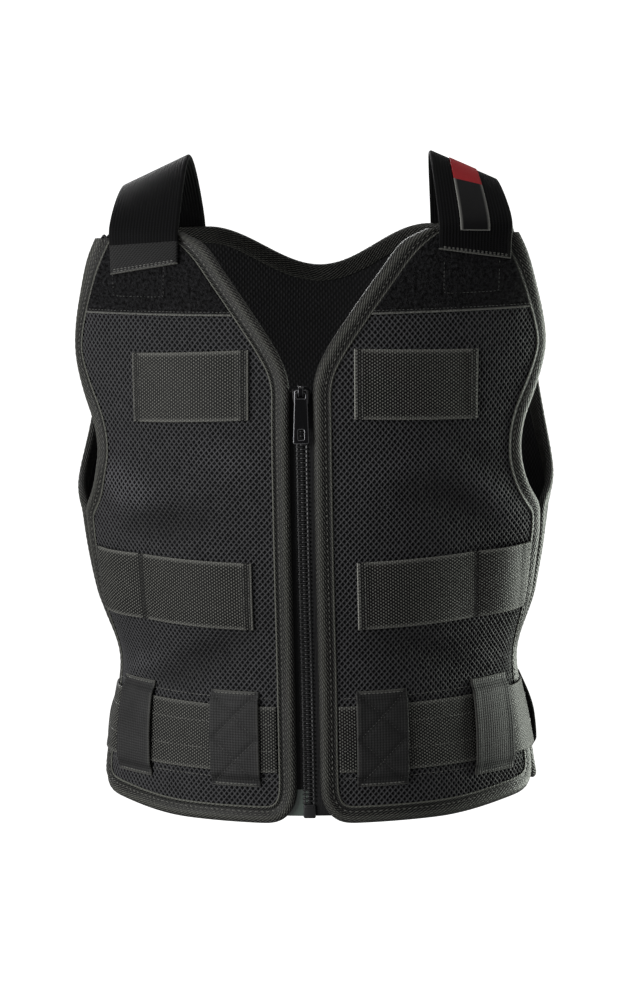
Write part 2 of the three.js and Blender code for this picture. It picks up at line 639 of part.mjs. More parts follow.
// Half of the chain: a comb whose teeth reach past the centre line, half a pitch apart on the two sides.
function comb(sign, offset) {
  const profile = [{ z: CHAIN.bottom, girth: CHAIN.root }];
  for (let z = CHAIN.bottom + offset; z + CHAIN.pitch / 2 < CHAIN.top; z += CHAIN.pitch) {
    const flankEnd = z + TOOTH.foot + TOOTH.flank;
    profile.push({ z: z + TOOTH.foot, girth: CHAIN.root });
    profile.push({ z: flankEnd, girth: CHAIN.tip });
    profile.push({ z: flankEnd + TOOTH.crest, girth: CHAIN.tip });
    profile.push({ z: flankEnd + TOOTH.crest + TOOTH.flank, girth: CHAIN.root });
  }
  profile.push({ z: CHAIN.top, girth: CHAIN.root });
  const back = profile.filter((_, k) => k % 4 === 0 || k === profile.length - 1);
  const outline = [...profile, ...back.reverse().map(({ z }) => ({ z, girth: CHAIN.back }))];
  const contour = outline.map(({ z, girth }) => new THREE.Vector2(girth, z));
  const faces = THREE.ShapeUtils.triangulateShape(contour, []);
  const count = outline.length;
  const points = [0, 1].flatMap((face) => outline.map(({ z, girth }) => (
    fromFront(sign * girth, z, CHAIN.lift + face * CHAIN.thickness)
  )));
  const triangles = faces.flatMap(([a, b, c]) => [[a, c, b], [a + count, b + count, c + count]]);
  const ahead = THREE.ShapeUtils.isClockWise(contour) ? -1 : 1;
  for (let k = 0; k < count; k += 1) {
    const [a, b] = ahead > 0 ? [k, (k + 1) % count] : [(k + 1) % count, k];
    triangles.push([a, b, b + count], [a, b + count, a + count]);
  }
  return closedGeometry(points, triangles);
}
for (const { name, sign } of SIDES) {
  add(vest, `zip_teeth_${name}`, comb(sign, sign > 0 ? CHAIN.pitch / 2 : 0), 'zipPlastic');
}

// Bottom stop: the box that both tape ends meet at.
const stopRows = 2;
add(vest, 'zip_bottom_stop', slab(2, stopRows, (i, j, face) => fromFront(
  STOP.width * (i / 2 - 0.5),
  STOP.top - STOP.height * (1 - j / stopRows),
  STOP.lift + face * STOP.thickness,
)), 'zipPlastic');

// Slider and pull, in a group that leans with the chain: local -Y points off the chain, +Z along it.
const sliderSeat = fromFront(0, SLIDER.z, 0);
const chainAbove = fromFront(0, SLIDER.z + SLIDER.length / 2, 0);
const chainBelow = fromFront(0, SLIDER.z - SLIDER.length / 2, 0);
const slider = new THREE.Group();
slider.position.copy(sliderSeat);
slider.rotation.x = -Math.atan2(chainAbove.y - chainBelow.y, SLIDER.length);
vest.add(slider);

// Plate outlined in the chain's plane, between two lifts.
function plate(outline, lift, thickness) {
  const settings = { depth: thickness, bevelEnabled: false, curveSegments: 3 };
  const geometry = new THREE.ExtrudeGeometry(outline, settings);
  geometry.rotateX(Math.PI / 2);
  geometry.translate(0, -lift, 0);
  return geometry;
}

// The two wings of the slider, wide above where the chains part.
const halfLength = SLIDER.length / 2;
const wing = new THREE.Shape([
  new THREE.Vector2(-SLIDER.bottomWidth / 2, -halfLength),
  new THREE.Vector2(SLIDER.bottomWidth / 2, -halfLength),
  new THREE.Vector2(SLIDER.topWidth / 2, 0),
  new THREE.Vector2(SLIDER.topWidth / 2, SLIDER.shoulder),
  new THREE.Vector2(SLIDER.topWidth / 4, halfLength),
  new THREE.Vector2(-SLIDER.topWidth / 4, halfLength),
  new THREE.Vector2(-SLIDER.topWidth / 2, SLIDER.shoulder),
  new THREE.Vector2(-SLIDER.topWidth / 2, 0),
]);
const post = new THREE.BoxGeometry(
  SLIDER_POST.width,
  SLIDER.topLift - SLIDER.bottomLift,
  SLIDER_POST.length,
);
const postZ = halfLength - SLIDER_POST.length / 2 - SLIDER_POST.inset;
post.translate(0, -(SLIDER.topLift + SLIDER.bottomLift + SLIDER.wall) / 2, postZ);

// Lug on the upper wing, an eye that the pull's bar turns in.
const lugZ = halfLength - LUG.fromTop;
const lugLift = SLIDER.topLift + SLIDER.wall + LUG.rise;
const eye = new THREE.Shape().absarc(0, 0, LUG.outer, 0, Math.PI * 2);
eye.holes.push(new THREE.Path().absarc(0, 0, LUG.inner, 0, Math.PI * 2, true));
const lug = new THREE.ExtrudeGeometry(eye, { depth: LUG.width, bevelEnabled: false, curveSegments: 8 });
lug.translate(0, 0, -LUG.width / 2);
lug.rotateY(Math.PI / 2);
lug.translate(0, -lugLift, lugZ);
add(slider, 'zip_slider', join([
  plate(wing, SLIDER.topLift, SLIDER.wall),
  plate(wing, SLIDER.bottomLift, SLIDER.wall),
  post,
  lug,
]), 'zipMetal');

// Pull: a flat tab with an eye at the bar and a slot near its end. It hangs along the chain.
const rounded = new THREE.Shape();
const half = PULL.width / 2;
const barTop = PULL.bar / 2;
rounded.moveTo(-half, barTop);
rounded.lineTo(-half, -PULL.length + PULL.corner);
rounded.absarc(-half + PULL.corner, -PULL.length + PULL.corner, PULL.corner, Math.PI, Math.PI * 1.5);
rounded.lineTo(half - PULL.corner, -PULL.length);
rounded.absarc(half - PULL.corner, -PULL.length + PULL.corner, PULL.corner, Math.PI * 1.5, Math.PI * 2);
rounded.lineTo(half, barTop);
const boxPath = (width, top, bottom) => new THREE.Path([
  new THREE.Vector2(-width / 2, bottom),
  new THREE.Vector2(-width / 2, top),
  new THREE.Vector2(width / 2, top),
  new THREE.Vector2(width / 2, bottom),
]);
rounded.holes.push(boxPath(PULL.eyeWidth, -barTop, -PULL.eyeEnd));
rounded.holes.push(boxPath(PULL_SLOT.width, -PULL_SLOT.from, -PULL_SLOT.to));
const tab = plate(rounded, -PULL.thickness / 2, PULL.thickness);
const pull = add(slider, 'zip_pull', tab, 'zipMetal');
pull.position.set(0, -lugLift, lugZ);

export default vest;
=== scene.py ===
"""A zipped tool vest in its worn form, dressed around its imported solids.

Every soft piece is a surface over the worn form: a place is a girth from the centre front or back, a
height and a lift off the form, all in millimetres. Meshes are put in as metres, in the frame of the solids.
"""

from __future__ import annotations

import logging
import math
from collections.abc import Callable, Sequence
from dataclasses import dataclass
from enum import Enum
from functools import partial
from typing import Any

import bpy
import numpy as np
from mathutils import Matrix, Vector
from mathutils.geometry import tessellate_polygon

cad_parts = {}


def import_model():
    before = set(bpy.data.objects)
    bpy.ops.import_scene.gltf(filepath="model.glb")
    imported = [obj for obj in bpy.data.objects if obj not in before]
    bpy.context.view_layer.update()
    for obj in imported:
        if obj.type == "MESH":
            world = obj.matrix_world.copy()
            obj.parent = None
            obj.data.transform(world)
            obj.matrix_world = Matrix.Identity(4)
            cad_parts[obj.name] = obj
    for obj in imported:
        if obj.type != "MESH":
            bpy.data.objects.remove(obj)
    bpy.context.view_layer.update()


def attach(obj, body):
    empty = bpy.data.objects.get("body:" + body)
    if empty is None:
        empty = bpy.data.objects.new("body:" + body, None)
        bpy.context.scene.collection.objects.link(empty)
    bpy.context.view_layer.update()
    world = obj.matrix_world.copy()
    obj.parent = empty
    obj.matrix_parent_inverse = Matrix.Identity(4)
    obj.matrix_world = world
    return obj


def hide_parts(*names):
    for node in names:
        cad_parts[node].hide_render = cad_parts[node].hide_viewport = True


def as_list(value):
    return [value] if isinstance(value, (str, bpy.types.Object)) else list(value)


LOG = logging.getLogger("tool_vest")
MM = 0.001
CLOTH_MAP = "cloth"
TONE = "tone"
VEST = "vest"
PULL = "zip_pull"
NOISE_DETAIL = 3.0
# Edges that turn by more than this many degrees stay sharp.
SHARP = 55.0
# Number of points across a rounded rim, over a plate's bevel and round a rectangle's corner.
RIM_POINTS = 5
BEVEL_POINTS = 4
CORNER_POINTS = 6

Array = np.ndarray
Place = Callable[[Array, Array, Array], Array]
Height = Callable[[Array, Array], Array]


class Side(Enum):
    """The wearer's sides, as the sign of X."""

    RIGHT = -1
    LEFT = 1

    @property
    def label(self) -> str:
        """The side's name in piece names."""
        return self.name.lower()


class Weave(Enum):
    """How the threads of a finish lie."""

    BASKET = "raised threads in staggered rows"
    RIB = "ribs, straight or leaning"
    PILE = "loose curls"


def mix(a: Any, b: Any, share: Any) -> Any:
    """The value that lies a share of the way from a to b."""
    return a + (b - a) * share


def smooth(share: Any) -> Array:
    """Eased step: 0 below 0, 1 above 1, and level at both ends."""
    t = np.clip(share, 0.0, 1.0)
    return t * t * (3.0 - 2.0 * t)


def bell(distance: Array, width: float) -> Array:
    """Bell curve: 1 at no distance, about a third at the width."""
    return np.exp(-((distance / width) ** 2))


def tint(shade: tuple[float, float], distance: Array) -> Array:
    """A tone that fades away from a line as a bell of some width: the shade is the tone and the width."""
    return shade[0] * bell(distance, shade[1])


def near_rim(position: Array, length: float) -> Array:
    """Distance to the nearer end of a length."""
    return np.minimum(position, length - position)


def through(table: Array, column: int, z: Array) -> Array:
    """Smooth curve through a table's rows by height.

    Between two rows it is a cubic whose slope at a row is that of the line between the row's neighbours.

    Args:
        table: Rows of values, by rising height in the first column.
        column: The column to follow.
        z: Heights.

    Returns:
        The column's value at each height.
    """
    heights, values = table[:, 0], table[:, column]
    before = np.maximum(np.arange(len(heights)) - 1, 0)
    after = np.minimum(np.arange(len(heights)) + 1, len(heights) - 1)
    slopes = (values[after] - values[before]) / (heights[after] - heights[before])
    row = np.clip(np.searchsorted(heights, z, side="right") - 1, 0, len(heights) - 2)
    span = heights[row + 1] - heights[row]
    t = (z - heights[row]) / span
    bend = slopes[row] * t * (1 - t) ** 2 - slopes[row + 1] * t * t * (1 - t)
    return mix(values[row], values[row + 1], t * t * (3 - 2 * t)) + span * bend


@dataclass(frozen=True)
class Quarter:
    """Quarter of an oval: a wide arc from its middle, then a rounder one to the side."""

    half_width: Array
    depth: Array
    rounding: float

    def arcs(self) -> tuple[Array, Array, Array]:
        """The two arcs of the quarter.

        Returns:
            The side arc's radius, the wide arc's radius and the angle where they meet.
        """
        side = self.rounding * self.depth
        reach = self.half_width - side
        wide = (reach**2 + self.depth**2 - side**2) / (2 * (self.depth - side))
        return side, wide, np.arcsin(reach / (wide - side))

    def length(self) -> Array:
        """Girth from the middle to the side."""
        side, wide, angle = self.arcs()
        return wide * angle + side * (math.pi / 2 - angle)

    def at(self, girth: Array, lift: Array) -> tuple[Array, Array]:
        """Places on the quarter.

        Args:
            girth: Girth from the middle.
            lift: Distance off the oval.

        Returns:
            Width and depth of the places.
        """
        side, wide, meet = self.arcs()
        on_wide = girth <= wide * meet
        angle = np.where(on_wide, girth / wide, meet + (girth - wide * meet) / side)
        radius = np.where(on_wide, wide, side) + lift
        width = np.where(on_wide, 0.0, self.half_width - side) + radius * np.sin(angle)
        depth = np.where(on_wide, self.depth - wide, 0.0) + radius * np.cos(angle)
        return width, depth


@dataclass(frozen=True)
class WornForm:
    """The oval form that the vest keeps, with the folds of its cloth."""

    rounding: float = 0.6
    # Height, half width, depth to the front, depth to the back.
    torso: tuple = (
        (-520, 172, 113, 102), (-470, 168, 113, 101), (-440, 163, 113, 99), (-385, 155, 113, 97),
        (-330, 172, 117, 104), (-260, 184, 120, 112), (-190, 187, 117, 115), (-130, 187, 105, 113),
        (-80, 186, 88, 104), (-40, 184, 68, 88), (0, 180, 40, 60),
    )
    # Girth, height, angle, length, width and height of a ridge, or of a dent where it is below zero.
    front_folds: tuple = (
        (-112, -264, 4, 34, 12, -4.0), (-80, -368, 26, 40, 12, -3.5), (-150, -240, -20, 34, 16, 3.0),
        (165, -258, -38, 42, 14, 3.5), (118, -250, -20, 40, 14, -3.0), (100, -368, -18, 42, 12, -3.0),
        (-60, -215, -12, 30, 14, 1.2), (-150, -385, 18, 30, 9, 1.6), (-120, -392, 10, 34, 8, -1.4),
        (70, -225, 16, 34, 13, 1.0), (150, -380, -16, 30, 9, 1.6), (140, -216, -30, 26, 9, -1.3),
    )
    back_folds: tuple = (
        (0, -372, 0, 90, 11, -3.0), (-60, -352, 8, 60, 10, 2.2), (70, -388, -6, 60, 9, 2.0),
        (-110, -270, 32, 60, 18, 2.6), (115, -262, -34, 60, 18, 2.6), (0, -170, 0, 80, 30, 1.5),
    )
    fold_fade: float = 18.0

    def quarters(self, z: Array) -> tuple[Quarter, Quarter]:
        """The oval's quarters.

        Args:
            z: Heights.

        Returns:
            The front and back quarters at each height.
        """
        table = np.array(self.torso, float)
        half, front, back = (through(table, column, z) for column in (1, 2, 3))
        return Quarter(half, front, self.rounding), Quarter(half, back, self.rounding)

    def half_girth(self, z: Array) -> Array:
        """Girth from the centre front to the centre back."""
        front, back = self.quarters(np.asarray(z, float))
        return front.length() + back.length()

    @staticmethod
    def rise(folds: Sequence[tuple], girth: Array, z: Array) -> Array:
        """Sum of the folds: each is a bell along its length times a bell across its width.

        Args:
            folds: Rows of a fold table.
            girth: Girth of the places.
            z: Their height.

        Returns:
            Height of the folds there.
        """
        total = np.zeros(np.broadcast(girth, z).shape)
        for middle, height, angle, length, width, rise in folds:
            turn = math.radians(angle)
            along = (girth - middle) * math.cos(turn) + (z - height) * math.sin(turn)
            across = (z - height) * math.cos(turn) - (girth - middle) * math.sin(turn)
            total = total + rise * bell(along, length) * bell(across, width)
        return total

    def front_rise(self, side: Side, girth: Array, z: Array) -> Array:
        """Height of the front's folds at a girth towards one side."""
        return self.rise(self.front_folds, side.value * girth, z)

    def back_rise(self, girth: Array, z: Array) -> Array:
        """Height of the back's folds at a girth from the centre back."""
        return self.rise(self.back_folds, girth, z)

    def front(self, girth: Array, z: Array, lift: Array) -> Array:
        """Points at a girth from the centre front, + to the wearer's left.

        Args:
            girth: Way round the form.
            z: Heights.
            lift: Distances off the form, measured level.

        Returns:
            Points, with a last axis of three.
        """
        girth, z, lift = np.broadcast_arrays(*(np.asarray(v, float) for v in (girth, z, lift)))
        ahead, behind = self.quarters(z)
        distance, side = np.abs(girth), np.where(girth < 0, -1.0, 1.0)
        to_side, to_back = ahead.length(), behind.length()
        fade = smooth(np.abs(distance - to_side) / self.fold_fade)
        left = np.maximum(to_side + to_back - distance, 0.0)
        front = ahead.at(np.minimum(distance, to_side), lift + fade * self.rise(self.front_folds, girth, z))
        back = behind.at(np.minimum(left, to_back), lift + fade * self.back_rise(side * left, z))
        in_front = distance <= to_side
        x = side * np.where(in_front, front[0], back[0])
        y = np.where(in_front, -front[1], back[1])
        return np.stack([x, y, z], axis=-1)

    def toward(self, side: Side, girth: Array, z: Array, lift: Array) -> Array:
        """Points at a girth from the centre front towards one side."""
        return self.front(side.value * girth, z, lift)

    def back(self, girth: Array, z: Array, lift: Array) -> Array:
        """Points at a girth from the centre back, + to the wearer's left."""
        side = np.where(np.asarray(girth) < 0, -1.0, 1.0)
        return self.front(side * (self.half_girth(z) - np.abs(girth)), z, lift)


def linear(colour: str) -> tuple[float, float, float, float]:
    """An sRGB hex colour as linear light.

    Args:
        colour: The colour, with its hash sign.

    Returns:
        Red, green, blue and an opaque alpha.
    """
    parts = [int(colour[k : k + 2], 16) / 255 for k in (1, 3, 5)]
    light = [c / 12.92 if c <= 0.04045 else ((c + 0.055) / 1.055) ** 2.4 for c in parts]
    return light[0], light[1], light[2], 1.0


def add_node(
    tree: bpy.types.NodeTree, kind: str, inputs: dict, out: int | str = 0, **settings: Any
) -> bpy.types.NodeSocket:
    """Adds a node with its settings and links.

    Args:
        tree: The node tree.
        kind: Blender's name for the shader node.
        inputs: By socket name or number, a socket to link from or a value to set.
        out: The output that is wanted.
        settings: The node's own properties.

    Returns:
        The output socket.
    """
    made = tree.nodes.new(f"ShaderNode{kind}")
    for name, value in settings.items():
        setattr(made, name, value)
    for name, value in inputs.items():
        if isinstance(value, bpy.types.NodeSocket):
            tree.links.new(value, made.inputs[name])
        else:
            made.inputs[name].default_value = value
    return made.outputs[out]


@dataclass(frozen=True)
class Finish:
    """A material with the settings that are the same all over it."""

    name: str
    colour: str
    roughness: float = 0.6
    metallic: float = 0.0
    specular: float = 0.5
    coat: float = 0.0
    coat_roughness: float = 0.12
    glow: float = 0.0

    def material(self) -> bpy.types.Material:
        """Makes the Blender material, once.

        Returns:
            The material.
        """
        found = bpy.data.materials.get(self.name)
        if found:
            return found
        made = bpy.data.materials.new(self.name)
        made.use_nodes = True
        shader = made.node_tree.nodes["Principled BSDF"]
        values = {
            "Base Color": linear(self.colour),
            "Roughness": self.roughness,
            "Metallic": self.metallic,
            "Specular IOR Level": self.specular,
            "Coat Weight": self.coat,
            "Coat Roughness": self.coat_roughness,
            "Emission Color": (1, 1, 1, 1),
            "Emission Strength": self.glow,
        }
        for socket, value in values.items():
            shader.inputs[socket].default_value = value
        self.pattern(made.node_tree, shader)
        return made

    def pattern(self, tree: bpy.types.NodeTree, shader: bpy.types.Node) -> None:
        """Links the finish's pattern to its shader."""


@dataclass(frozen=True)
class Cloth(Finish):
    """A textile: threads that catch the light over darker gaps, on the piece's own cloth map.

    The map is in millimetres, u along the piece and v across it. Pitch, cross, relief and mottle_size are
    in millimetres, cross_share is the lesser ripple's share, crisp sharpens the threads and sparse thins
    them.
    """

    gap: str = "#060606"
    # Colour that a tone above zero mixes in: painted highlight, and in places wear.
    wear_and_highlight: str = "#6a6a66"
    # Colour that a tone below zero mixes in: painted shade in pits, grooves, creases, seam valleys and
    # quilting dents.
    pit: str = "#020202"
    weave: Weave = Weave.RIB
    pitch: float = 2.4
    cross: float = 1.6
    cross_share: float = 0.25
    relief: float = 0.25
    lean: float = 0.0
    mottle: float = 0.25
    mottle_size: float = 1 / 0.06
    crisp: float = 1.0
    sparse: float = 0.0
    curl: float = 0.7

    def ripple(self, tree: bpy.types.NodeTree, value: Any, pitch: float) -> bpy.types.NodeSocket:
        """Cosine of a coordinate that comes round once in a pitch."""
        angle = add_node(tree, "Math", {0: value, 1: 2 * math.pi / pitch}, operation="MULTIPLY")
        return add_node(tree, "Math", {0: angle}, operation="COSINE")

    def height(self, tree: bpy.types.NodeTree, cloth: bpy.types.NodeSocket) -> bpy.types.NodeSocket:
        """Height of the threads, 0 to 1.

        Basket: the product of a ripple along u and one along v, so raised threads lie in staggered rows,
        with ribs of half the pitch along u. Rib: a ripple along u + lean v, broken a little by one along v.
        Pile: noise of the pitch's size. The middle values are stretched.

        Args:
            tree: The material's node tree.
            cloth: The cloth map.

        Returns:
            The socket that gives the height.
        """
        if self.weave is Weave.PILE:
            curls = {"Scale": 1 / self.pitch, "Detail": NOISE_DETAIL, "Roughness": self.curl}
            raised = add_node(tree, "TexNoise", {"Vector": cloth, **curls})
        else:
            u, v = (add_node(tree, "SeparateXYZ", {0: cloth}, axis) for axis in (0, 1))
            across = self.ripple(tree, v, self.cross)
            if self.weave is Weave.BASKET:
                along, second = (self.ripple(tree, u, pitch) for pitch in (self.pitch, self.pitch / 2))
                first = add_node(tree, "Math", {0: along, 1: across}, operation="MULTIPLY")
            else:
                leaning = add_node(tree, "Math", {0: v, 1: self.lean, 2: u}, operation="MULTIPLY_ADD")
                first, second = self.ripple(tree, leaning, self.pitch), across
            broken = add_node(tree, "Math", {0: second, 1: self.cross_share}, operation="MULTIPLY")
            blend = {0: first, 1: 1 - self.cross_share, 2: broken}
            raised = add_node(tree, "Math", blend, operation="MULTIPLY_ADD")
        low, high = self.sparse - 1 / self.crisp, self.sparse + 1 / self.crisp
        return add_node(tree, "MapRange", {"Value": raised, "From Min": low, "From Max": high})

    def pattern(self, tree: bpy.types.NodeTree, shader: bpy.types.Node) -> None:
        """Threads over gaps, mottled in large soft patches, pale where the tone paints a highlight (and in
        places wear), and dark where it paints shade.

        Args:
            tree: The material's node tree.
            shader: Its shader.
        """
        cloth = add_node(tree, "UVMap", {}, uv_map=CLOTH_MAP)
        height = self.height(tree, cloth)
        patches = {"Vector": cloth, "Scale": 1 / self.mottle_size, "Detail": NOISE_DETAIL}
        soft = add_node(tree, "TexNoise", patches)
        spread_out = {0: soft, 1: 2 * self.mottle, 2: 1 - self.mottle}
        mottled = add_node(tree, "Math", spread_out, operation="MULTIPLY_ADD")
        tone = add_node(tree, "Attribute", {}, "Fac", attribute_name=TONE)
        # How far a tone below zero darkens the colour towards the pit colour, as painted shade.
        sunk = add_node(tree, "Math", {0: tone, 1: -1.0}, operation="MULTIPLY")
        colour = linear(self.gap)
        # The last two mixes are painted light from the tone: highlight (and some wear) above zero, shade
        # below zero.
        for blend, second, share in (
            ("MIX", linear(self.colour), height),
            ("MULTIPLY", mottled, 1.0),
            ("MIX", linear(self.wear_and_highlight), tone),
            ("MIX", linear(self.pit), sunk),
        ):
            sockets = {0: share, 6: colour, 7: second}
            colour = add_node(tree, "Mix", sockets, 2, data_type="RGBA", blend_type=blend)
        tree.links.new(colour, shader.inputs["Base Color"])
        raised = {"Height": height, "Strength": 1.0, "Distance": self.relief * MM}
        tree.links.new(add_node(tree, "Bump", raised), shader.inputs["Normal"])


@dataclass(frozen=True)
class Moulded(Finish):
    """A moulded or lacquered surface: a fine uneven skin that blurs its gloss in places."""

    grain: float = 0.8
    relief: float = 0.02
    blur: float = 0.25
    blur_middle: float = 0.12
    bump: float = 0.6

    def pattern(self, tree: bpy.types.NodeTree, shader: bpy.types.Node) -> None:
        """Noise of the grain's size in the gloss and, faintly, in the surface.

        Args:
            tree: The material's node tree.
            shader: Its shader.
        """
        place = add_node(tree, "TexCoord", {}, "Object")
        size = {"Vector": place, "Scale": 1 / (self.grain * MM), "Detail": NOISE_DETAIL}
        noise = add_node(tree, "TexNoise", size)
        gloss = {0: noise, 1: self.blur, 2: self.roughness - self.blur_middle}
        tree.links.new(add_node(tree, "Math", gloss, operation="MULTIPLY_ADD"), shader.inputs["Roughness"])
        raised = {"Height": noise, "Strength": self.bump, "Distance": self.relief * MM}
        tree.links.new(add_node(tree, "Bump", raised), shader.inputs["Normal"])


# Warp-knitted polyester spacer mesh: matt black yarn, with a painted highlight where the strands cross.
MESH = Cloth(
    "polyester_spacer_mesh", "#212122", 0.68, specular=0.19, gap="#161617", wear_and_highlight="#47474a",
    pitch=0.9, cross=0.7, cross_share=0.35, lean=1.0, relief=0.06,
)
# The inside of the mesh, seen through its holes: no light comes back out.
MESH_PIT = Finish("spacer_mesh_pit", "#0d0d0e", 0.95, specular=0.05)
# The same knit seen from inside, where the holes are drawn and not cut.
MESH_INSIDE = Cloth(
    "polyester_spacer_mesh_inside", "#242425", 0.8, specular=0.1, gap="#040404",
    weave=Weave.BASKET, pitch=4.4, cross=5.05, cross_share=0.3, relief=0.5, mottle=0.2,
)
KNIT = (MESH, MESH_INSIDE, MESH_PIT)
# Woven nylon twill tape, folded over the edges: pale slanting ribs.
BINDING = Cloth(
    "nylon_twill_binding", "#454541", 0.5, specular=0.13, gap="#020202", wear_and_highlight="#5c5d56",
    pitch=3.8, cross=1.5, cross_share=0.35, lean=1.9, relief=0.6, mottle=0.2, crisp=2.4, sparse=0.36,
)
# Heavy basket-woven nylon webbing: raised threads in staggered rows, slightly shiny.
WEBBING = Cloth(
    "nylon_basket_webbing", "#4f4f4b", 0.6, specular=0.11, gap="#010101", wear_and_highlight="#6e6e69",
    weave=Weave.BASKET, pitch=3.83, cross=2.58, cross_share=0.3, relief=0.6, mottle=0.15,
    crisp=2.2, sparse=0.3,
)
# Ribbed nylon cloth of the belt loops: a fine grid of ribs.
KEEPER = Cloth(
    "nylon_ribbed_cloth", "#212121", 0.65, specular=0.12, gap="#090909", wear_and_highlight="#4a4a46",
    pitch=2.24, cross=2.1, cross_share=0.46, relief=0.25, mottle=0.45,
)
# Brushed nylon loop pile: a deep black fuzz of curls with no gloss.
PILE = Cloth(
    "brushed_nylon_loop_pile", "#1c1c1d", 0.95, specular=0.05, gap="#020202",
    weave=Weave.PILE, pitch=2.6, relief=1.2, mottle=0.3, crisp=1 / 0.15, sparse=0.51,
)
# Fine-ribbed strap webbing: lengthwise ribs, nearly black.
STRAP = Cloth(
    "ribbed_polyester_strap", "#0b0b0c", 0.7, specular=0.03, gap="#030303", wear_and_highlight="#5c5c58",
    pitch=2.4, cross=1.5, relief=0.3, mottle=0.2,
)
# Coarse twill of the strap's sewn end.
STRAP_END = Cloth(
    "coarse_polyester_twill", "#1d1d1d", 0.6, specular=0.08, gap="#020202", wear_and_highlight="#5c5c58",
    pitch=2.9, cross=1.6, cross_share=0.35, lean=1.0, relief=0.35, mottle=0.2,
)
# Satin-woven label: smooth and slightly shiny.
LABEL = Cloth(
    "woven_satin_label", "#0a0a0b", 0.5, specular=0.05, gap="#080808", wear_and_highlight="#8f8f8a",
    pitch=0.8, cross=0.8, relief=0.05, mottle=0.1,
)
LABEL_RED = Cloth(
    "woven_satin_label_red", "#7c0c13", 0.5, specular=0.08, gap="#6e0a10", wear_and_highlight="#5c0a0e",
    pitch=0.8, cross=0.8, relief=0.05, mottle=0.08,
)
# Woven polyester zip tape: dull fine ribs.
TAPE = Cloth(
    "polyester_zip_tape", "#151516", 0.7, specular=0.12, pitch=1.2, cross=1.5, relief=0.12, mottle=0.2,
)
# Spun polyester sewing thread: paler than the cloth, since its twist catches the light.
THREAD = Cloth(
    "polyester_sewing_thread", "#5e5e5a", 0.5, specular=0.2, gap="#2e2e2c",
    pitch=0.6, cross=0.6, cross_share=0.35, lean=1.0, relief=0.03, mottle=0.3,
)
# The finer, darker thread of quilting and of the rows along the webbing.
FINE_THREAD = Cloth(
    "fine_dark_thread", "#444442", 0.5, specular=0.2, gap="#222221",
    pitch=0.6, cross=0.6, cross_share=0.35, lean=1.0, relief=0.03, mottle=0.3,
)
# Moulded acetal teeth: black with small hard highlights.
ACETAL = Moulded("moulded_acetal", "#080809", 0.36, specular=0.34)
# Black lacquered zinc casting: deep black faces; its bright edges are the paler edge finish below, a painted
# highlight.
LACQUER = Moulded("lacquered_zinc", "#040405", 0.22, specular=0.1, grain=1.5, relief=0.008)
# The casting's rounded edges in a paler bare-zinc finish: a painted highlight, shown as lacquer worn thin.
EDGE_HIGHLIGHT = Moulded(
    "zinc_edge_painted_highlight", "#525254", 0.34, metallic=0.7, specular=0.4, grain=1.5, relief=0.008
)
# Clear film welded over the tape ends: glossy, a little green.
FILM = Moulded("welded_tape_film", "#38413c", 0.22, specular=0.5, coat=0.3, grain=2.5, relief=0.06)
# Pale studio paper, lit from behind so that it stays even.
PAPER = Finish("studio_paper", "#f4f4f2", 0.9, glow=0.75)


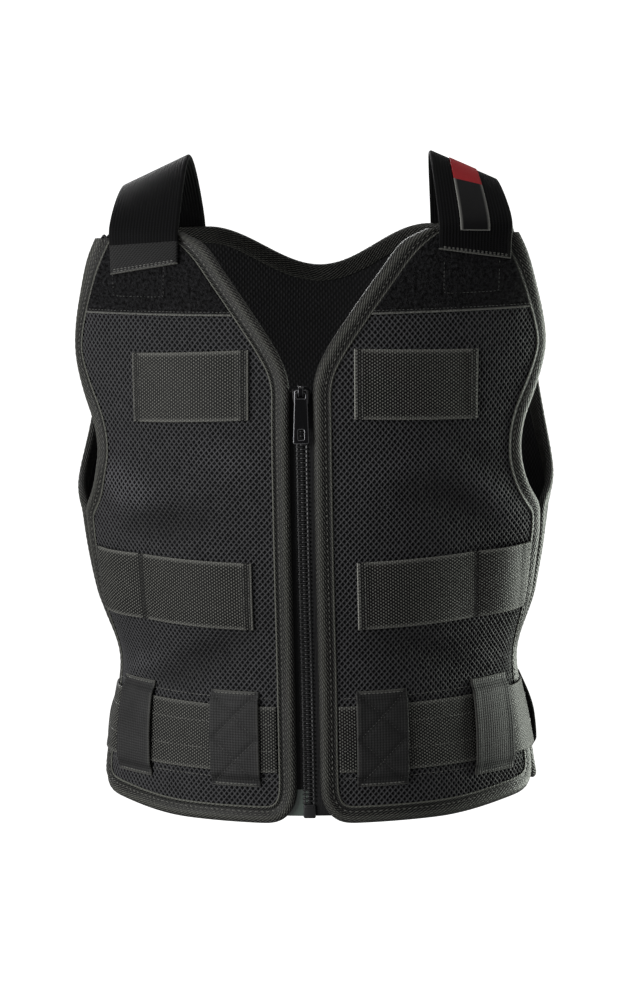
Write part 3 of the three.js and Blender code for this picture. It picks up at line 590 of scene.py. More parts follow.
class Surface:
    """A piece's mesh in the making: shells of points, faces, cloth map and tone.

    Tone is above zero where the cloth is painted pale, as painted highlight and in places wear, and below
    zero where painted shade darkens it, as in its pits, grooves and creases.
    """

    def __init__(self) -> None:
        """Starts with nothing."""
        self.points: list[Array] = []
        self.cloth: list[Array] = []
        self.tone: list[Array] = []
        self.faces: list[tuple[Array, Array]] = []
        self.count = 0

    def add(
        self,
        points: Array,
        faces: Sequence[Array],
        cloth: Array | None = None,
        tone: Array | None = None,
        finishes: Sequence[Any] | None = None,
    ) -> None:
        """Adds a shell, turned so that its signed volume is above zero.

        Args:
            points: Places in millimetres, one row each.
            faces: Index arrays, each of faces with the same number of corners.
            cloth: Cloth map of each point.
            tone: Tone of each point.
            finishes: For each index array, the finish number of its faces.
        """
        middle = points - points.mean(axis=0)
        volume = 0.0
        for face in faces:
            for corner in range(1, face.shape[1] - 1):
                turn = np.cross(middle[face[:, corner]], middle[face[:, corner + 1]])
                volume += float(np.einsum("ij,ij->", middle[face[:, 0]], turn))
        order = 1 if volume >= 0 else -1
        for number, face in enumerate(faces):
            finish = np.broadcast_to(finishes[number] if finishes else 0, (len(face),))
            self.faces.append((face[:, ::order] + self.count, finish))
        self.points.append(points)
        self.cloth.append(np.zeros((len(points), 2)) if cloth is None else cloth)
        self.tone.append(np.zeros(len(points)) if tone is None else tone)
        self.count += len(points)

    def shell(
        self, outer: Array, inner: Array, cloth: Array, tone: Array, row_finish: Array | None = None
    ) -> None:
        """Adds two grids of points that meet along their rim.

        Args:
            outer: Outer face, rows by columns by three.
            inner: Inner face. Its rim is the outer face's.
            cloth: Cloth map, rows by columns by two.
            tone: Tone, rows by columns.
            row_finish: Finish number of each row of faces.
        """
        rows, columns = outer.shape[:2]
        front = np.arange(rows * columns).reshape(rows, columns)
        behind = front.copy()
        behind[1:-1, 1:-1] = rows * columns + np.arange((rows - 2) * (columns - 2)).reshape(rows - 2, -1)
        finish = np.zeros(rows - 1, int) if row_finish is None else row_finish
        each = np.repeat(finish, columns - 1)
        core = (slice(1, -1), slice(1, -1))
        self.add(
            np.concatenate([outer.reshape(-1, 3), inner[core].reshape(-1, 3)]),
            [grid_faces(front), grid_faces(behind)[:, ::-1]],
            np.concatenate([cloth.reshape(-1, 2), cloth[core].reshape(-1, 2)]),
            np.concatenate([tone.ravel(), tone[core].ravel()]),
            [each, each],
        )

    def band(
        self, place: Place, flat: tuple[Array, Array], lift: Array, half: Array, cloth: Array, tone: Array
    ) -> None:
        """Adds a band with a face on either side of its middle.

        Args:
            place: Gives points from two numbers and a lift.
            flat: The two numbers of each point.
            lift: Lift of the band's middle.
            half: Half the band's thickness.
            cloth: Cloth map.
            tone: Tone.
        """
        self.shell(place(*flat, lift + half), place(*flat, lift - half), cloth, tone)

    def build(self, name: str, finishes: Sequence[Finish], sharp: float = SHARP) -> bpy.types.Object:
        """Puts the shells into one mesh object at the origin.

        Args:
            name: The piece's name.
            finishes: The finishes that its faces number.
            sharp: Edges that turn by more than this many degrees stay sharp.

        Returns:
            The object, linked to the scene.
        """
        corners = np.concatenate([face.ravel() for face, _ in self.faces])
        sizes = np.concatenate([np.full(len(face), face.shape[1]) for face, _ in self.faces])
        numbers = np.concatenate([finish for _, finish in self.faces])
        mesh = bpy.data.meshes.new(name)
        mesh.vertices.add(self.count)
        mesh.loops.add(len(corners))
        mesh.polygons.add(len(sizes))
        mesh.vertices.foreach_set("co", (np.concatenate(self.points) * MM).astype(np.float32).ravel())
        mesh.loops.foreach_set("vertex_index", corners.astype(np.int32))
        mesh.polygons.foreach_set("loop_start", (np.cumsum(sizes) - sizes).astype(np.int32))
        mesh.polygons.foreach_set("material_index", numbers.astype(np.int32))
        mesh.update(calc_edges=True)
        layer = mesh.uv_layers.new(name=CLOTH_MAP)
        layer.data.foreach_set("uv", np.concatenate(self.cloth)[corners].astype(np.float32).ravel())
        tone = mesh.attributes.new(TONE, "FLOAT", "POINT")
        tone.data.foreach_set("value", np.concatenate(self.tone).astype(np.float32))
        mesh.shade_smooth()
        mesh.set_sharp_from_angle(angle=math.radians(sharp))
        for finish in finishes:
            mesh.materials.append(finish.material())
        made = bpy.data.objects.new(name, mesh)
        bpy.context.scene.collection.objects.link(made)
        return made


def dress(
    surface: Surface,
    name: str,
    finishes: Sequence[Finish],
    slot: str | None = None,
    *nodes: str,
    body: str = VEST,
    sharp: float = SHARP,
) -> bpy.types.Object:
    """Builds a piece and sets it on its body.

    Args:
        surface: The piece's mesh.
        name: The piece's name.
        finishes: The finishes that its faces number.
        slot: The record's material slot, if it has one; not used.
        nodes: CAD nodes that it stands for.
        body: The body that it moves with.
        sharp: Edges that turn by more than this many degrees stay sharp.

    Returns:
        The piece.
    """
    piece = surface.build(name, finishes, sharp)
    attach(piece, body)
    if nodes:
        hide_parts(*nodes)
    LOG.info("%s: %d faces", piece.name, len(piece.data.polygons))
    return piece


def grid_faces(index: Array) -> Array:
    """Four-cornered faces between the neighbours of a grid of point numbers."""
    corners = (index[:-1, :-1], index[:-1, 1:], index[1:, 1:], index[1:, :-1])
    return np.stack(corners, axis=-1).reshape(-1, 4)


def tube(rows: int, columns: int) -> tuple[Array, Array]:
    """Point numbers of a grid, and the faces of the grid with its last column joined to its first."""
    index = np.arange(rows * columns).reshape(rows, columns)
    return index, grid_faces(np.concatenate([index, index[:, :1]], axis=1))


def stacks(index: Array) -> Array:
    """Side faces of many closed stacks of rings.

    Args:
        index: Point numbers by stack, ring and place on the ring.

    Returns:
        Four-cornered faces.
    """
    onward = np.roll(index, -1, axis=2)
    corners = (index[:, :-1], onward[:, :-1], onward[:, 1:], index[:, 1:])
    return np.stack(corners, axis=-1).reshape(-1, 4)


def spread(length: float, step: float, rim: float) -> Array:
    """Positions along a length, evenly between two rims that are spaced as a quarter circle is.

    Args:
        length: The length.
        step: About the distance between positions.
        rim: Width of the rims.

    Returns:
        The positions, from zero to the length.
    """
    start = rim * (1 - np.cos(np.linspace(0, math.pi / 2, RIM_POINTS)))
    count = max(2, round((length - 2 * rim) / step))
    middle = np.linspace(rim, length - rim, count + 1)[1:-1]
    return np.concatenate([start, middle, length - start[::-1]])


def rounding(position: Array, length: float, rim: float) -> Array:
    """Share of the full thickness at a position: a quarter circle over each rim."""
    share = np.clip(near_rim(position, length) / rim, 0.0, 1.0)
    return np.sqrt(np.maximum(1 - (1 - share) ** 2, 0.0))


def soft_grid(
    lengths: tuple[float, float], steps: tuple[float, float], rim: float
) -> tuple[Array, Array, Array]:
    """A grid over a rectangle with rounded rims.

    Args:
        lengths: The lengths across the columns and across the rows.
        steps: About the distance between columns and between rows.
        rim: Width of the rounded rims.

    Returns:
        Position across the columns, position across the rows, and share of the full thickness.
    """
    first, second = np.meshgrid(*(spread(length, step, rim) for length, step in zip(lengths, steps)))
    return first, second, rounding(first, lengths[0], rim) * rounding(second, lengths[1], rim)


def pairs(first: Array, second: Array) -> Array:
    """Two arrays of numbers as one of pairs."""
    return np.stack(np.broadcast_arrays(first, second), axis=-1)


def along_path(path: Array) -> Array:
    """Distance along a path to each of its points."""
    steps = np.linalg.norm(np.diff(path, axis=0), axis=1)
    return np.concatenate([[0.0], np.cumsum(steps)])


def resample(path: Array, step: float) -> Array:
    """Spaces a path's points evenly.

    Args:
        path: The path, one point a row.
        step: About the distance between points.

    Returns:
        The new points.
    """
    distance = along_path(path)
    even = np.linspace(0, distance[-1], max(2, round(distance[-1] / step)) + 1)
    return np.stack([np.interp(even, distance, path[:, k]) for k in range(path.shape[1])], axis=-1)


def bell_weights(step: float, reach: float) -> Array:
    """Weights of a bell-shaped mean.

    Args:
        step: Distance between points.
        reach: The bell's standard deviation.

    Returns:
        Weights of sum 1, three reaches to either side.
    """
    span = math.ceil(3 * reach / step)
    weights = np.exp(-0.5 * (np.arange(-span, span + 1) * step / reach) ** 2)
    return weights / weights.sum()


def eased(path: Array, reach: float) -> Array:
    """Rounds a path's corners by a bell-weighted mean, its two ends kept.

    Args:
        path: The path, its points evenly spaced.
        reach: The bell's standard deviation.

    Returns:
        The rounded path.
    """
    weights = bell_weights(along_path(path)[-1] / (len(path) - 1), reach)
    span = len(weights) // 2
    ends = (2 * path[0] - path[span:0:-1], 2 * path[-1] - path[-2 : -span - 2 : -1])
    padded = np.concatenate([ends[0], path, ends[1]])
    columns = [np.convolve(padded[:, k], weights, "valid") for k in range(path.shape[1])]
    return np.stack(columns, axis=-1)


def eased_loop(loop: Array, reach: float) -> Array:
    """Rounds a closed loop's corners by a bell-weighted mean.

    Args:
        loop: The loop, its points evenly spaced.
        reach: The bell's standard deviation.

    Returns:
        The rounded loop.
    """
    weights = bell_weights(float(np.linalg.norm(loop[1] - loop[0])), reach)
    span = len(weights) // 2
    return np.sum([w * np.roll(loop, k - span, axis=0) for k, w in enumerate(weights)], axis=0)


def leftward(path: Array) -> Array:
    """Ways to the left of a flat path.

    Args:
        path: The path, one point a row.

    Returns:
        A unit vector for each point.
    """
    way = np.gradient(path, axis=0)
    left = np.stack([-way[:, 1], way[:, 0]], axis=-1)
    return left / np.linalg.norm(left, axis=1, keepdims=True)


def inside(places: Array, outline: Array) -> Array:
    """Finds the flat places inside an outline, from which a ray crosses it an odd number of times.

    Args:
        places: The places, one a row.
        outline: The closed outline's corners.

    Returns:
        Whether each place is inside.
    """
    x, y = places[:, :1], places[:, 1:]
    x0, y0 = outline[:, 0], outline[:, 1]
    x1, y1 = np.roll(x0, -1), np.roll(y0, -1)
    rise = np.where(y1 == y0, 1e-9, y1 - y0)
    crosses = ((y0 > y) != (y1 > y)) & (x < (x1 - x0) * (y - y0) / rise + x0)
    return crosses.sum(axis=1) % 2 == 1


def line(*corners: tuple[float, float]) -> Array:
    """A row on the cloth through its corners."""
    return np.array(corners, float)


def level(lift: float, first: Array, second: Array) -> Array:
    """An upper lift that is the same all over."""
    return np.full(np.broadcast(first, second).shape, lift)


@dataclass(frozen=True)
class Seam:
    """Rows of sewing stitches: short spindles of thread, sunk at both ends."""

    pitch: float = 3.1
    length: float = 2.3
    radius: float = 0.36
    sides: int = 5
    # Lift off the cloth and share of the radius at a stitch's start, middle and end.
    lifts: tuple = (-0.2, 0.12, -0.2)
    taper: tuple = (0.45, 1.0, 0.45)

    def sew(self, surface: Surface, path: Array, place: Place, top: Height) -> None:
        """Adds one row of stitches.

        Args:
            surface: Takes the stitches.
            path: The row on the cloth, two numbers a point.
            place: Gives points from the two numbers and a lift.
            top: Gives the cloth's upper lift from the two numbers.
        """
        distance = along_path(path)
        count = max(1, int(distance[-1] / self.pitch))
        middles = (np.arange(count) + 0.5) * distance[-1] / count
        ways = middles[:, None] + np.array([-0.5, 0.0, 0.5]) * self.length
        first, second = (np.interp(ways, distance, path[:, k]) for k in (0, 1))
        lift = top(first, second) + np.array(self.lifts)
        spine = place(first, second, lift)
        way = spine[:, 2] - spine[:, 0]
        way /= np.linalg.norm(way, axis=1, keepdims=True)
        up = place(first[:, 1], second[:, 1], lift[:, 1] + 1.0) - spine[:, 1]
        beside = np.cross(way, up)
        beside /= np.linalg.norm(beside, axis=1, keepdims=True)
        up = np.cross(beside, way)
        turn = np.arange(self.sides) * 2 * math.pi / self.sides
        around = np.cos(turn)[:, None] * beside[:, None] + np.sin(turn)[:, None] * up[:, None]
        radius = self.radius * np.array(self.taper)
        points = spine[:, :, None] + radius[:, None, None] * around[:, None]
        index = np.arange(count * 3 * self.sides).reshape(count, 3, self.sides)
        caps = np.concatenate([index[:, 0, ::-1], index[:, 2]])
        cloth = pairs(ways[:, :, None], turn[None, None])
        surface.add(points.reshape(-1, 3), [stacks(index), caps], cloth.reshape(-1, 2))


@dataclass(frozen=True)
class BoundEdge:
    """A cut edge and the line a binding's width inside it, as girth and height."""

    edge: Array
    inner: Array

    @classmethod
    def along(
        cls, cut: Array, width: float, step: float, end_reach: float, ease: tuple[float, float]
    ) -> BoundEdge:
        """Stations along a cut whose cloth lies to the left of the way, and whose ends are cut level.

        Args:
            cut: The cut edge, close points.
            width: The binding's width.
            step: Distance between stations.
            end_reach: At both ends, the width's stretch along the level cut.
            ease: How far the corners of the edge and of the inner line are rounded.

        Returns:
            The stations.
        """
        edge = resample(eased(resample(cut, 1.0), ease[0]), step)
        inner = eased(edge + leftward(edge) * width, ease[1])
        distance = along_path(edge)
        for end, reach in ((0, end_reach), (-1, -end_reach)):
            share = 1 - smooth(np.abs(distance - distance[end]) / (3 * width))
            inner = inner + (edge[end] + (reach * width, 0.0) - inner[end]) * share[:, None]
        return cls(edge, inner)

    def at(self, depth: float) -> Array:
        """The line at a depth from the edge, as a share of the binding's width."""
        return mix(self.edge, self.inner, depth)


@dataclass(frozen=True)
class Cuts:
    """How the panels are cut, as girth and height."""

    hem: float = -490.0
    corner: float = 19.5
    drop: float = 8.0
    level_girth: float = 100.0
    front: float = 10.5
    side: float = 205.0
    underarm: float = -262.0
    shoulder: float = -48.0
    neck_rise: float = 5.0
    hem_fade: float = -459.0
    top_fade: float = -106.0
    # Height and girth.
    neck: tuple = ((-176, 10.5), (-158, 10.5), (-140, 16), (-110, 35), (-72, 65), (-56, 79), (-48, 97))
    armhole: tuple = (
        (-262, 205), (-247, 191), (-230, 183), (-212, 180), (-190, 184), (-170, 194),
        (-138, 207), (-118, 203), (-92, 191), (-64, 178), (-48, 168),
    )
    back_armhole: tuple = ((-230, 224), (-190, 203), (-138, 190), (-92, 180), (-48, 165))
    side_seam: float = 4.0
    back_neck: float = 92.0
    back_dip: float = 34.0
    binding: float = 12.0
    end_reach: float = 1.15
    station: float = 2.8
    ease: tuple = (5.0, 4.0)
    # Number of points up an edge, along the front hem, along the back and round a corner.
    edge_points: int = 400
    hem_points: int = 120
    back_points: int = 200
    corner_points: int = 16

    def hem_drop(self, girth: Array) -> Array:
        """How far the front hem drops, full at the zip and nothing at the side."""
        return self.drop * (1 - smooth((girth - self.level_girth) / (self.side - self.level_girth)))

    def corner_arc(self) -> tuple[Array, Array]:
        """Inset and rise round a hem corner, from the hem up the side."""
        turn = np.linspace(0, math.pi / 2, self.corner_points)
        return self.corner * (1 - np.sin(turn)), self.corner * (1 - np.cos(turn))

    def front_edge(self) -> BoundEdge:
        """The front panel's bound edge.

        Returns:
            Stations down the neck and zip, along the hem, and up the side and armhole.
        """
        inset, rise = self.corner_arc()
        down = np.linspace(self.shoulder, self.hem + self.corner, self.edge_points)
        neck = np.where(down < self.neck[0][0], self.front, through(np.array(self.neck, float), 1, down))
        girth = np.concatenate([neck, self.front + inset[::-1]])
        z = np.concatenate([down, self.hem + rise[::-1]])
        near_hem = np.clip((self.hem_fade - z) / (self.hem_fade - self.hem), 0, 1)
        near_top = np.clip((z - self.top_fade) / (self.shoulder - self.top_fade), 0, 1)
        z = z - near_hem * self.hem_drop(girth) + near_top * self.neck_rise
        along = np.linspace(self.front + self.corner, self.side - self.corner, self.hem_points)
        up = np.linspace(self.hem + self.corner, self.shoulder, self.edge_points)
        arm = np.where(up <= self.underarm, self.side, through(np.array(self.armhole, float), 1, up))
        runs = (
            (girth, z), (along, self.hem - self.hem_drop(along)), (self.side - inset, self.hem + rise),
            (arm, up),
        )
        cut = np.concatenate([pairs(*run) for run in runs])
        return BoundEdge.along(cut, self.binding, self.station, self.end_reach, self.ease)

    def back_edge(self, form: WornForm) -> BoundEdge:
        """The back panel's bound edge.

        Args:
            form: The worn form.

        Returns:
            Stations down one armhole and side, along the hem, and up the other.
        """
        inset, rise = self.corner_arc()
        up = np.linspace(self.hem + self.corner, self.shoulder, self.edge_points)
        seam = form.half_girth(up) - self.side - self.side_seam
        start = float(form.half_girth(self.underarm)) - self.side - self.side_seam
        table = np.array(((self.underarm, start), *self.back_armhole), float)
        half = np.where(up <= self.underarm, seam, through(table, 1, up))
        girth = np.concatenate([half[0] - inset, half])
        z = np.concatenate([self.hem + rise, up])
        along = np.linspace(-girth[0], girth[0], self.back_points)
        cut = np.concatenate([pairs(-girth, z)[::-1], pairs(along, self.hem), pairs(girth, z)])
        return BoundEdge.along(cut, self.binding, self.station, self.end_reach, self.ease)

    def back_top(self, girth: Array) -> Array:
        """Height of the back panel's top edge, which dips round the neck."""
        share = np.clip(np.abs(girth) / self.back_neck, 0, 1)
        return self.shoulder - self.back_dip * np.cos(share * math.pi / 2) ** 2


@dataclass(frozen=True)
class Lattice:
    """Knitted mesh: slanting strands that cross in staggered rows, round a deep hole in every cell."""

    width: float = 4.4
    height: float = 5.05
    thickness: float = 3.0
    crown: float = 0.42
    depth: float = 1.75
    # Right, upper right and upper points of a hole, from the cell's middle.
    hole: tuple = ((1.22, 0.0), (0.79, 0.76), (0.0, 1.44))
    # Painted light in the tone: a highlight where the strands cross, painted shade round the holes' rims, and
    # fold shading that darkens the folds' dents and lightens their ridges.
    crossing_highlight: float = 0.30
    rim_shade: float = -0.30
    crease_shading: float = 0.14
    crease_range: tuple = (-0.5, 0.3)
    sway: float = 0.5
    # Girth and height that turn each wave of the sway by a radian, and the wave's share.
    sway_aside: tuple = ((47, 19, 1.0), (-11, 7.3, 0.6))
    sway_along: tuple = ((23, -61, 1.0), (8.1, 13, 0.6))
    unevenness: float = 0.12
    seed: int = 5

    def cells(self, outline: Array) -> Array:
        """Finds the cells inside an outline.

        Args:
            outline: The closed outline's corners, as girth and height.

        Returns:
            Middles of the cells, none of them at girth zero.
        """
        low, high = outline.min(axis=0), outline.max(axis=0)
        row = self.height / 2
        columns = np.arange(math.floor(low[0] / self.width) - 1, math.ceil(high[0] / self.width) + 2)
        rows = np.arange(math.floor(low[1] / row) - 1, math.ceil(high[1] / row) + 2)
        i, j = np.meshgrid(columns, rows)
        girth = (i + 0.25 + 0.5 * (j % 2)) * self.width
        middles = pairs(girth, j * row).reshape(-1, 2)
        return middles[inside(middles, outline)]

    def swayed(self, flat: Array) -> Array:
        """Lays the cloth slightly wavy, by slow sines of its girth and height.

        Args:
            flat: Places as girth and height, one a row.

        Returns:
            The places, moved a little.
        """
        girth, z = flat.T
        moves = [
            sum(share * np.sin(z / height + girth / width) for width, height, share in waves)
            for waves in (self.sway_aside, self.sway_along)
        ]
        return flat + self.sway * np.stack(moves, axis=-1)

    def knit(
        self, cells: Array, place: Place, folds: Height, covered: Sequence[tuple], halves: Sequence[Array]
    ) -> list[Surface]:
        """Makes the cloth of some cells, in one or more pieces.

        Args:
            cells: Middles of all the cells.
            place: Gives points from girth, height and lift.
            folds: Gives the height of the cloth's folds from girth and height.
            covered: Low and high girth, low and high height of the areas that other cloth covers.
            halves: For each piece, which cells it has.

        Returns:
            A surface for each piece. Finish 1 is the inner face and finish 2 the pits.
        """
        half = np.array((self.width / 2, self.height / 2))
        corners = cells[:, None] + np.array(((1, 0), (0, 1), (-1, 0), (0, -1))) * half
        key = np.round((corners - (self.width / 4, 0.0)) / half).astype(int).reshape(-1, 2)
        _, first, number = np.unique(key, axis=0, return_index=True, return_inverse=True)
        shared = corners.reshape(-1, 2)[first]
        ring = number.reshape(-1, 4)
        hidden = np.zeros(len(cells), bool)
        girth, z = cells.T
        for low, high, bottom, top in covered:
            hidden |= (girth > low) & (girth < high) & (z > bottom) & (z < top)
        return [self.cloth(cells[each], shared, ring[each], hidden[each], place, folds) for each in halves]

    def cloth(
        self, cells: Array, shared: Array, ring: Array, closed: Array, place: Place, folds: Height
    ) -> Surface:
        """One piece of the knit.

        A cell's four corners, where the strands cross, stand at the full thickness. In an open cell the
        strands slope in to the eight points of the hole, and from there a pit goes down to one point.
        A covered cell and the cloth's inner face are flat.

        Args:
            cells: Middles of the piece's cells.
            shared: All the corners.
            ring: Each cell's four corners.
            closed: Whether other cloth covers each cell.
            place: Gives points from girth, height and lift.
            folds: Gives the height of the folds, whose dents get painted shade and whose ridges a painted
                highlight.

        Returns:
            The piece's surface.
        """
        used, inverse = np.unique(ring, return_inverse=True)
        corner = inverse.reshape(-1, 4)
        flat = shared[used]
        count = len(used)
        middles = cells[~closed]
        opened = len(middles)
        (a, _), (b, c), (_, d) = self.hole
        star = np.array(((a, 0), (b, c), (0, d), (-b, c), (-a, 0), (-b, -c), (0, -d), (b, -c)))
        uneven = np.random.default_rng(self.seed).uniform(-1, 1, (opened, 1, 2))
        holes = middles[:, None] + star * (1 + self.unevenness * uneven)
        hole = 2 * count + np.arange(opened * len(star)).reshape(-1, len(star))
        deep = np.broadcast_to((2 * count + hole.size + np.arange(opened))[:, None], hole.shape)
        outer = corner[~closed]
        after = np.roll(outer, -1, axis=1)
        facing, between, ahead = hole[:, 0::2], hole[:, 1::2], np.roll(hole[:, 0::2], -1, axis=1)
        strands = [(outer, after, between), (outer, between, facing), (after, ahead, between)]
        strands = np.concatenate([np.stack(each, axis=-1).reshape(-1, 3) for each in strands])
        pits = np.stack([hole, np.roll(hole, -1, axis=1), deep], axis=-1).reshape(-1, 3)
        beyond = np.roll(corner, -1, axis=1)
        edge = ~np.isin(corner * count + beyond, beyond * count + corner)
        start, end = corner[edge], beyond[edge]
        rims = np.stack([end, start, start + count, end + count], axis=-1)
        girths = np.concatenate([flat, flat, holes.reshape(-1, 2), middles])
        sizes = (count, count, hole.size, opened)
        top = self.thickness
        lifts = np.repeat((top, 0.0, top - self.crown, top - self.depth), sizes)
        # Tone as painted light: a highlight at the crossings, shade at the rims and full shade at each pit's
        # bottom; the folds add shade in dents and highlight on ridges, on the crossings and rims.
        tones = np.repeat((self.crossing_highlight, 0.0, self.rim_shade, -1.0), sizes)
        fold_shading = np.clip(self.crease_shading * folds(girths[:, 0], girths[:, 1]), *self.crease_range)
        tones = tones + fold_shading * np.repeat((1.0, 0.0, 1.0, 0.0), sizes)
        faces = ((strands, 0), (pits, 2), (corner[closed], 0), (corner[:, ::-1] + count, 1), (rims, 0))
        kept = [(face, finish) for face, finish in faces if len(face)]
        surface = Surface()
        points = place(*self.swayed(girths).T, lifts)
        surface.add(points, [face for face, _ in kept], girths, tones, [finish for _, finish in kept])
        return surface


@dataclass(frozen=True)
class Binding:
    """Tape folded over an edge: a soft roll round the cut, a groove, and a fine fold along the inner edge."""

    width: float = 12.0
    cloth_top: float = 3.05
    pucker: float = 0.14
    pucker_length: float = 6.2
    stitch_depth: float = 7.9
    stitch_lift: float = 3.85
    seam: Seam = Seam(pitch=4.6, length=2.6, radius=0.4)
    # Depth from the edge, lift and tone round the section, outer leg first. The tone is painted light:
    # highlight on the fine fold and the roll's crown, shade in the groove, down the roll's outer side and
    # inside the fold.
    section: tuple = (
        (12.0, 3.1, 0.1), (12.3, 3.5, 0.45), (11.9, 3.95, 0.45), (11.1, 3.95, 0.25), (10.5, 3.55, -0.55),
        (9.3, 3.45, -0.7), (8.2, 3.6, -0.55), (7.2, 4.15, -0.4), (5.8, 4.6, -0.1), (4.2, 5.0, 0.1),
        (2.4, 5.1, 0.12), (0.9, 4.7, 0.05), (-0.4, 3.8, -0.1), (-1.3, 2.6, -0.25), (-1.5, 1.4, -0.25),
        (-1.1, 0.1, 0.0), (-0.2, -0.8, 0.0), (1.5, -1.3, 0.0), (5.0, -1.4, 0.0), (9.0, -1.35, 0.0),
        (12.0, -1.2, 0.1), (12.35, -0.7, 0.2), (12.0, -0.15, 0.0), (6.0, -0.12, -0.7), (0.4, -0.1, -0.7),
        (-0.3, 1.5, -0.7), (0.4, 3.02, -0.7), (6.0, 3.04, -0.7),
    )

    def sweep(
        self, surface: Surface, stations: BoundEdge, place: Place, side: Side, thin: Array | None = None
    ) -> None:
        """Carries the section along the stations, with a slight pucker, and closes its ends.

        Args:
            surface: Takes the tape.
            stations: The edge and its inner line.
            place: Gives points from girth, height and lift.
            side: Which way the girth runs, so that the twill leans one way all over the vest.
            thin: For each station, the share of the outer leg's rise off the cloth that is kept.
        """
        depth, lift, painted_shading = np.array(self.section).T
        distance = along_path(stations.edge)
        wave = self.pucker * np.sin(distance * 2 * math.pi / self.pucker_length)
        raised = np.maximum(lift - self.cloth_top, 0.0)
        keep = np.ones(len(distance)) if thin is None else thin
        lifts = lift + raised * (keep[:, None] - 1) + wave[:, None] * (raised > 0.5) * keep[:, None]
        flat = mix(stations.edge[:, None], stations.inner[:, None], (depth / self.width)[:, None])
        points = place(flat[..., 0], flat[..., 1], lifts)
        index, walls = tube(*points.shape[:2])
        caps = np.stack([index[0, ::-1], index[-1]])
        round_section = along_path(np.array(self.section)[:, :2])
        cloth = pairs(side.value * distance[:, None], round_section[None])
        # Painted light round the section: highlight on the folds, shade in the groove and inside the fold.
        tone = np.broadcast_to(painted_shading, index.shape)
        surface.add(points.reshape(-1, 3), [walls, caps], cloth.reshape(-1, 2), tone.ravel())

    def stitched(self, surface: Surface, stations: BoundEdge, place: Place) -> None:
        """Sews a row of stitches along the groove beside the roll."""
        row = stations.at(self.stitch_depth / self.width)
        self.seam.sew(surface, row, place, partial(level, self.stitch_lift))


@dataclass(frozen=True)
class Panels:
    """The two mesh fronts and the mesh back, with their bindings."""

    form: WornForm
    cuts: Cuts = Cuts()
    lattice: Lattice = Lattice()
    binding: Binding = Binding()
    cell_inset: float = 0.4
    back_inset: float = 3.0
    # Points left out at either end of the line under the back's top edge.
    back_skip: int = 8
    # Under the straps the neck binding is thinner: girth, width of the change and share kept.
    thin: tuple = (84.0, 10.0, 0.35)
    # Low and high girth, low and high height that the pieces on a front cover, less a margin.
    front_cover: tuple = (
        (46, 132, -183, -137), (46, 185, -343, -300), (30, 199, -454, -412), (42, 72, -466, -400),
        (60, 190, -100, -60),
    )
    back_cover: tuple = ((-230, 230, -454, -412),)

    def sheet(self, pieces: Sequence[Any]) -> None:
        """Gathers the pieces that move with a panel into a list, and does nothing more with them.

        Args:
            pieces: The pieces that move with it.
        """
        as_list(pieces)

    def build_front(self, side: Side) -> None:
        """One front: its mesh, its binding and the binding's stitches.

        Args:
            side: The wearer's side.
        """
        place = partial(self.form.toward, side)
        stations = self.cuts.front_edge()
        outline = stations.at(self.cell_inset)
        cells = self.lattice.cells(outline)
        folds = partial(self.form.front_rise, side)
        knit = self.lattice.knit(cells, place, folds, self.front_cover, [np.ones(len(cells), bool)])[0]
        tape, thread = Surface(), Surface()
        self.binding.sweep(tape, stations, place, side)
        self.binding.stitched(thread, stations, place)
        panel = dress(knit, f"mesh_front_{side.label}", KNIT, "mesh_cloth", f"front_panel_{side.label}")
        name = f"bound_edge_front_{side.label}"
        bound = dress(tape, name, [BINDING], "binding_tape", f"front_binding_{side.label}")
        sewn = dress(thread, f"{name}_stitches", [THREAD])
        self.sheet([bound, sewn])

    def build_back(self) -> None:
        """The back: its mesh in two halves, its binding, and the tape along its top edge."""
        place = self.form.back
        stations = self.cuts.back_edge(self.form)
        girth = np.linspace(stations.edge[-1, 0], stations.edge[0, 0], self.cuts.back_points)
        top = pairs(girth, self.cuts.back_top(girth))
        below = (top - (0.0, self.back_inset))[self.back_skip : -self.back_skip]
        outline = np.concatenate([stations.at(self.cell_inset)[:-1], below])
        cells = self.lattice.cells(outline)
        left = cells[:, 0] > 0
        tape, neck, thread = Surface(), Surface(), Surface()
        self.binding.sweep(tape, stations, place, Side.RIGHT)
        self.binding.stitched(thread, stations, place)
        edge = resample(top, self.cuts.station)
        inner = edge + leftward(edge) * self.cuts.binding
        reach, change, share = self.thin
        thin = mix(1.0, share, smooth((np.abs(edge[:, 0]) - reach) / change))
        self.binding.sweep(neck, BoundEdge(edge, inner), place, Side.RIGHT, thin)
        near = np.abs(edge[:, 0]) < reach
        self.binding.stitched(thread, BoundEdge(edge[near], inner[near]), place)
        pieces = [
            dress(tape, "bound_edge_back", [BINDING], "binding_tape", "back_binding"),
            dress(neck, "bound_edge_back_neck", [BINDING], "binding_tape", "back_neck_binding"),
            dress(thread, "bound_edge_back_stitches", [THREAD]),
        ]
        halves = self.lattice.knit(cells, place, self.form.back_rise, self.back_cover, [~left, left])
        for side, knit, bound in zip(Side, halves, (pieces, [])):
            panel = dress(knit, f"mesh_back_{side.label}", KNIT, "mesh_cloth", "back_panel")
            half = outline.copy()
            half[:, 0] = np.maximum(half[:, 0] * side.value, 0.0)
            self.sheet(bound)


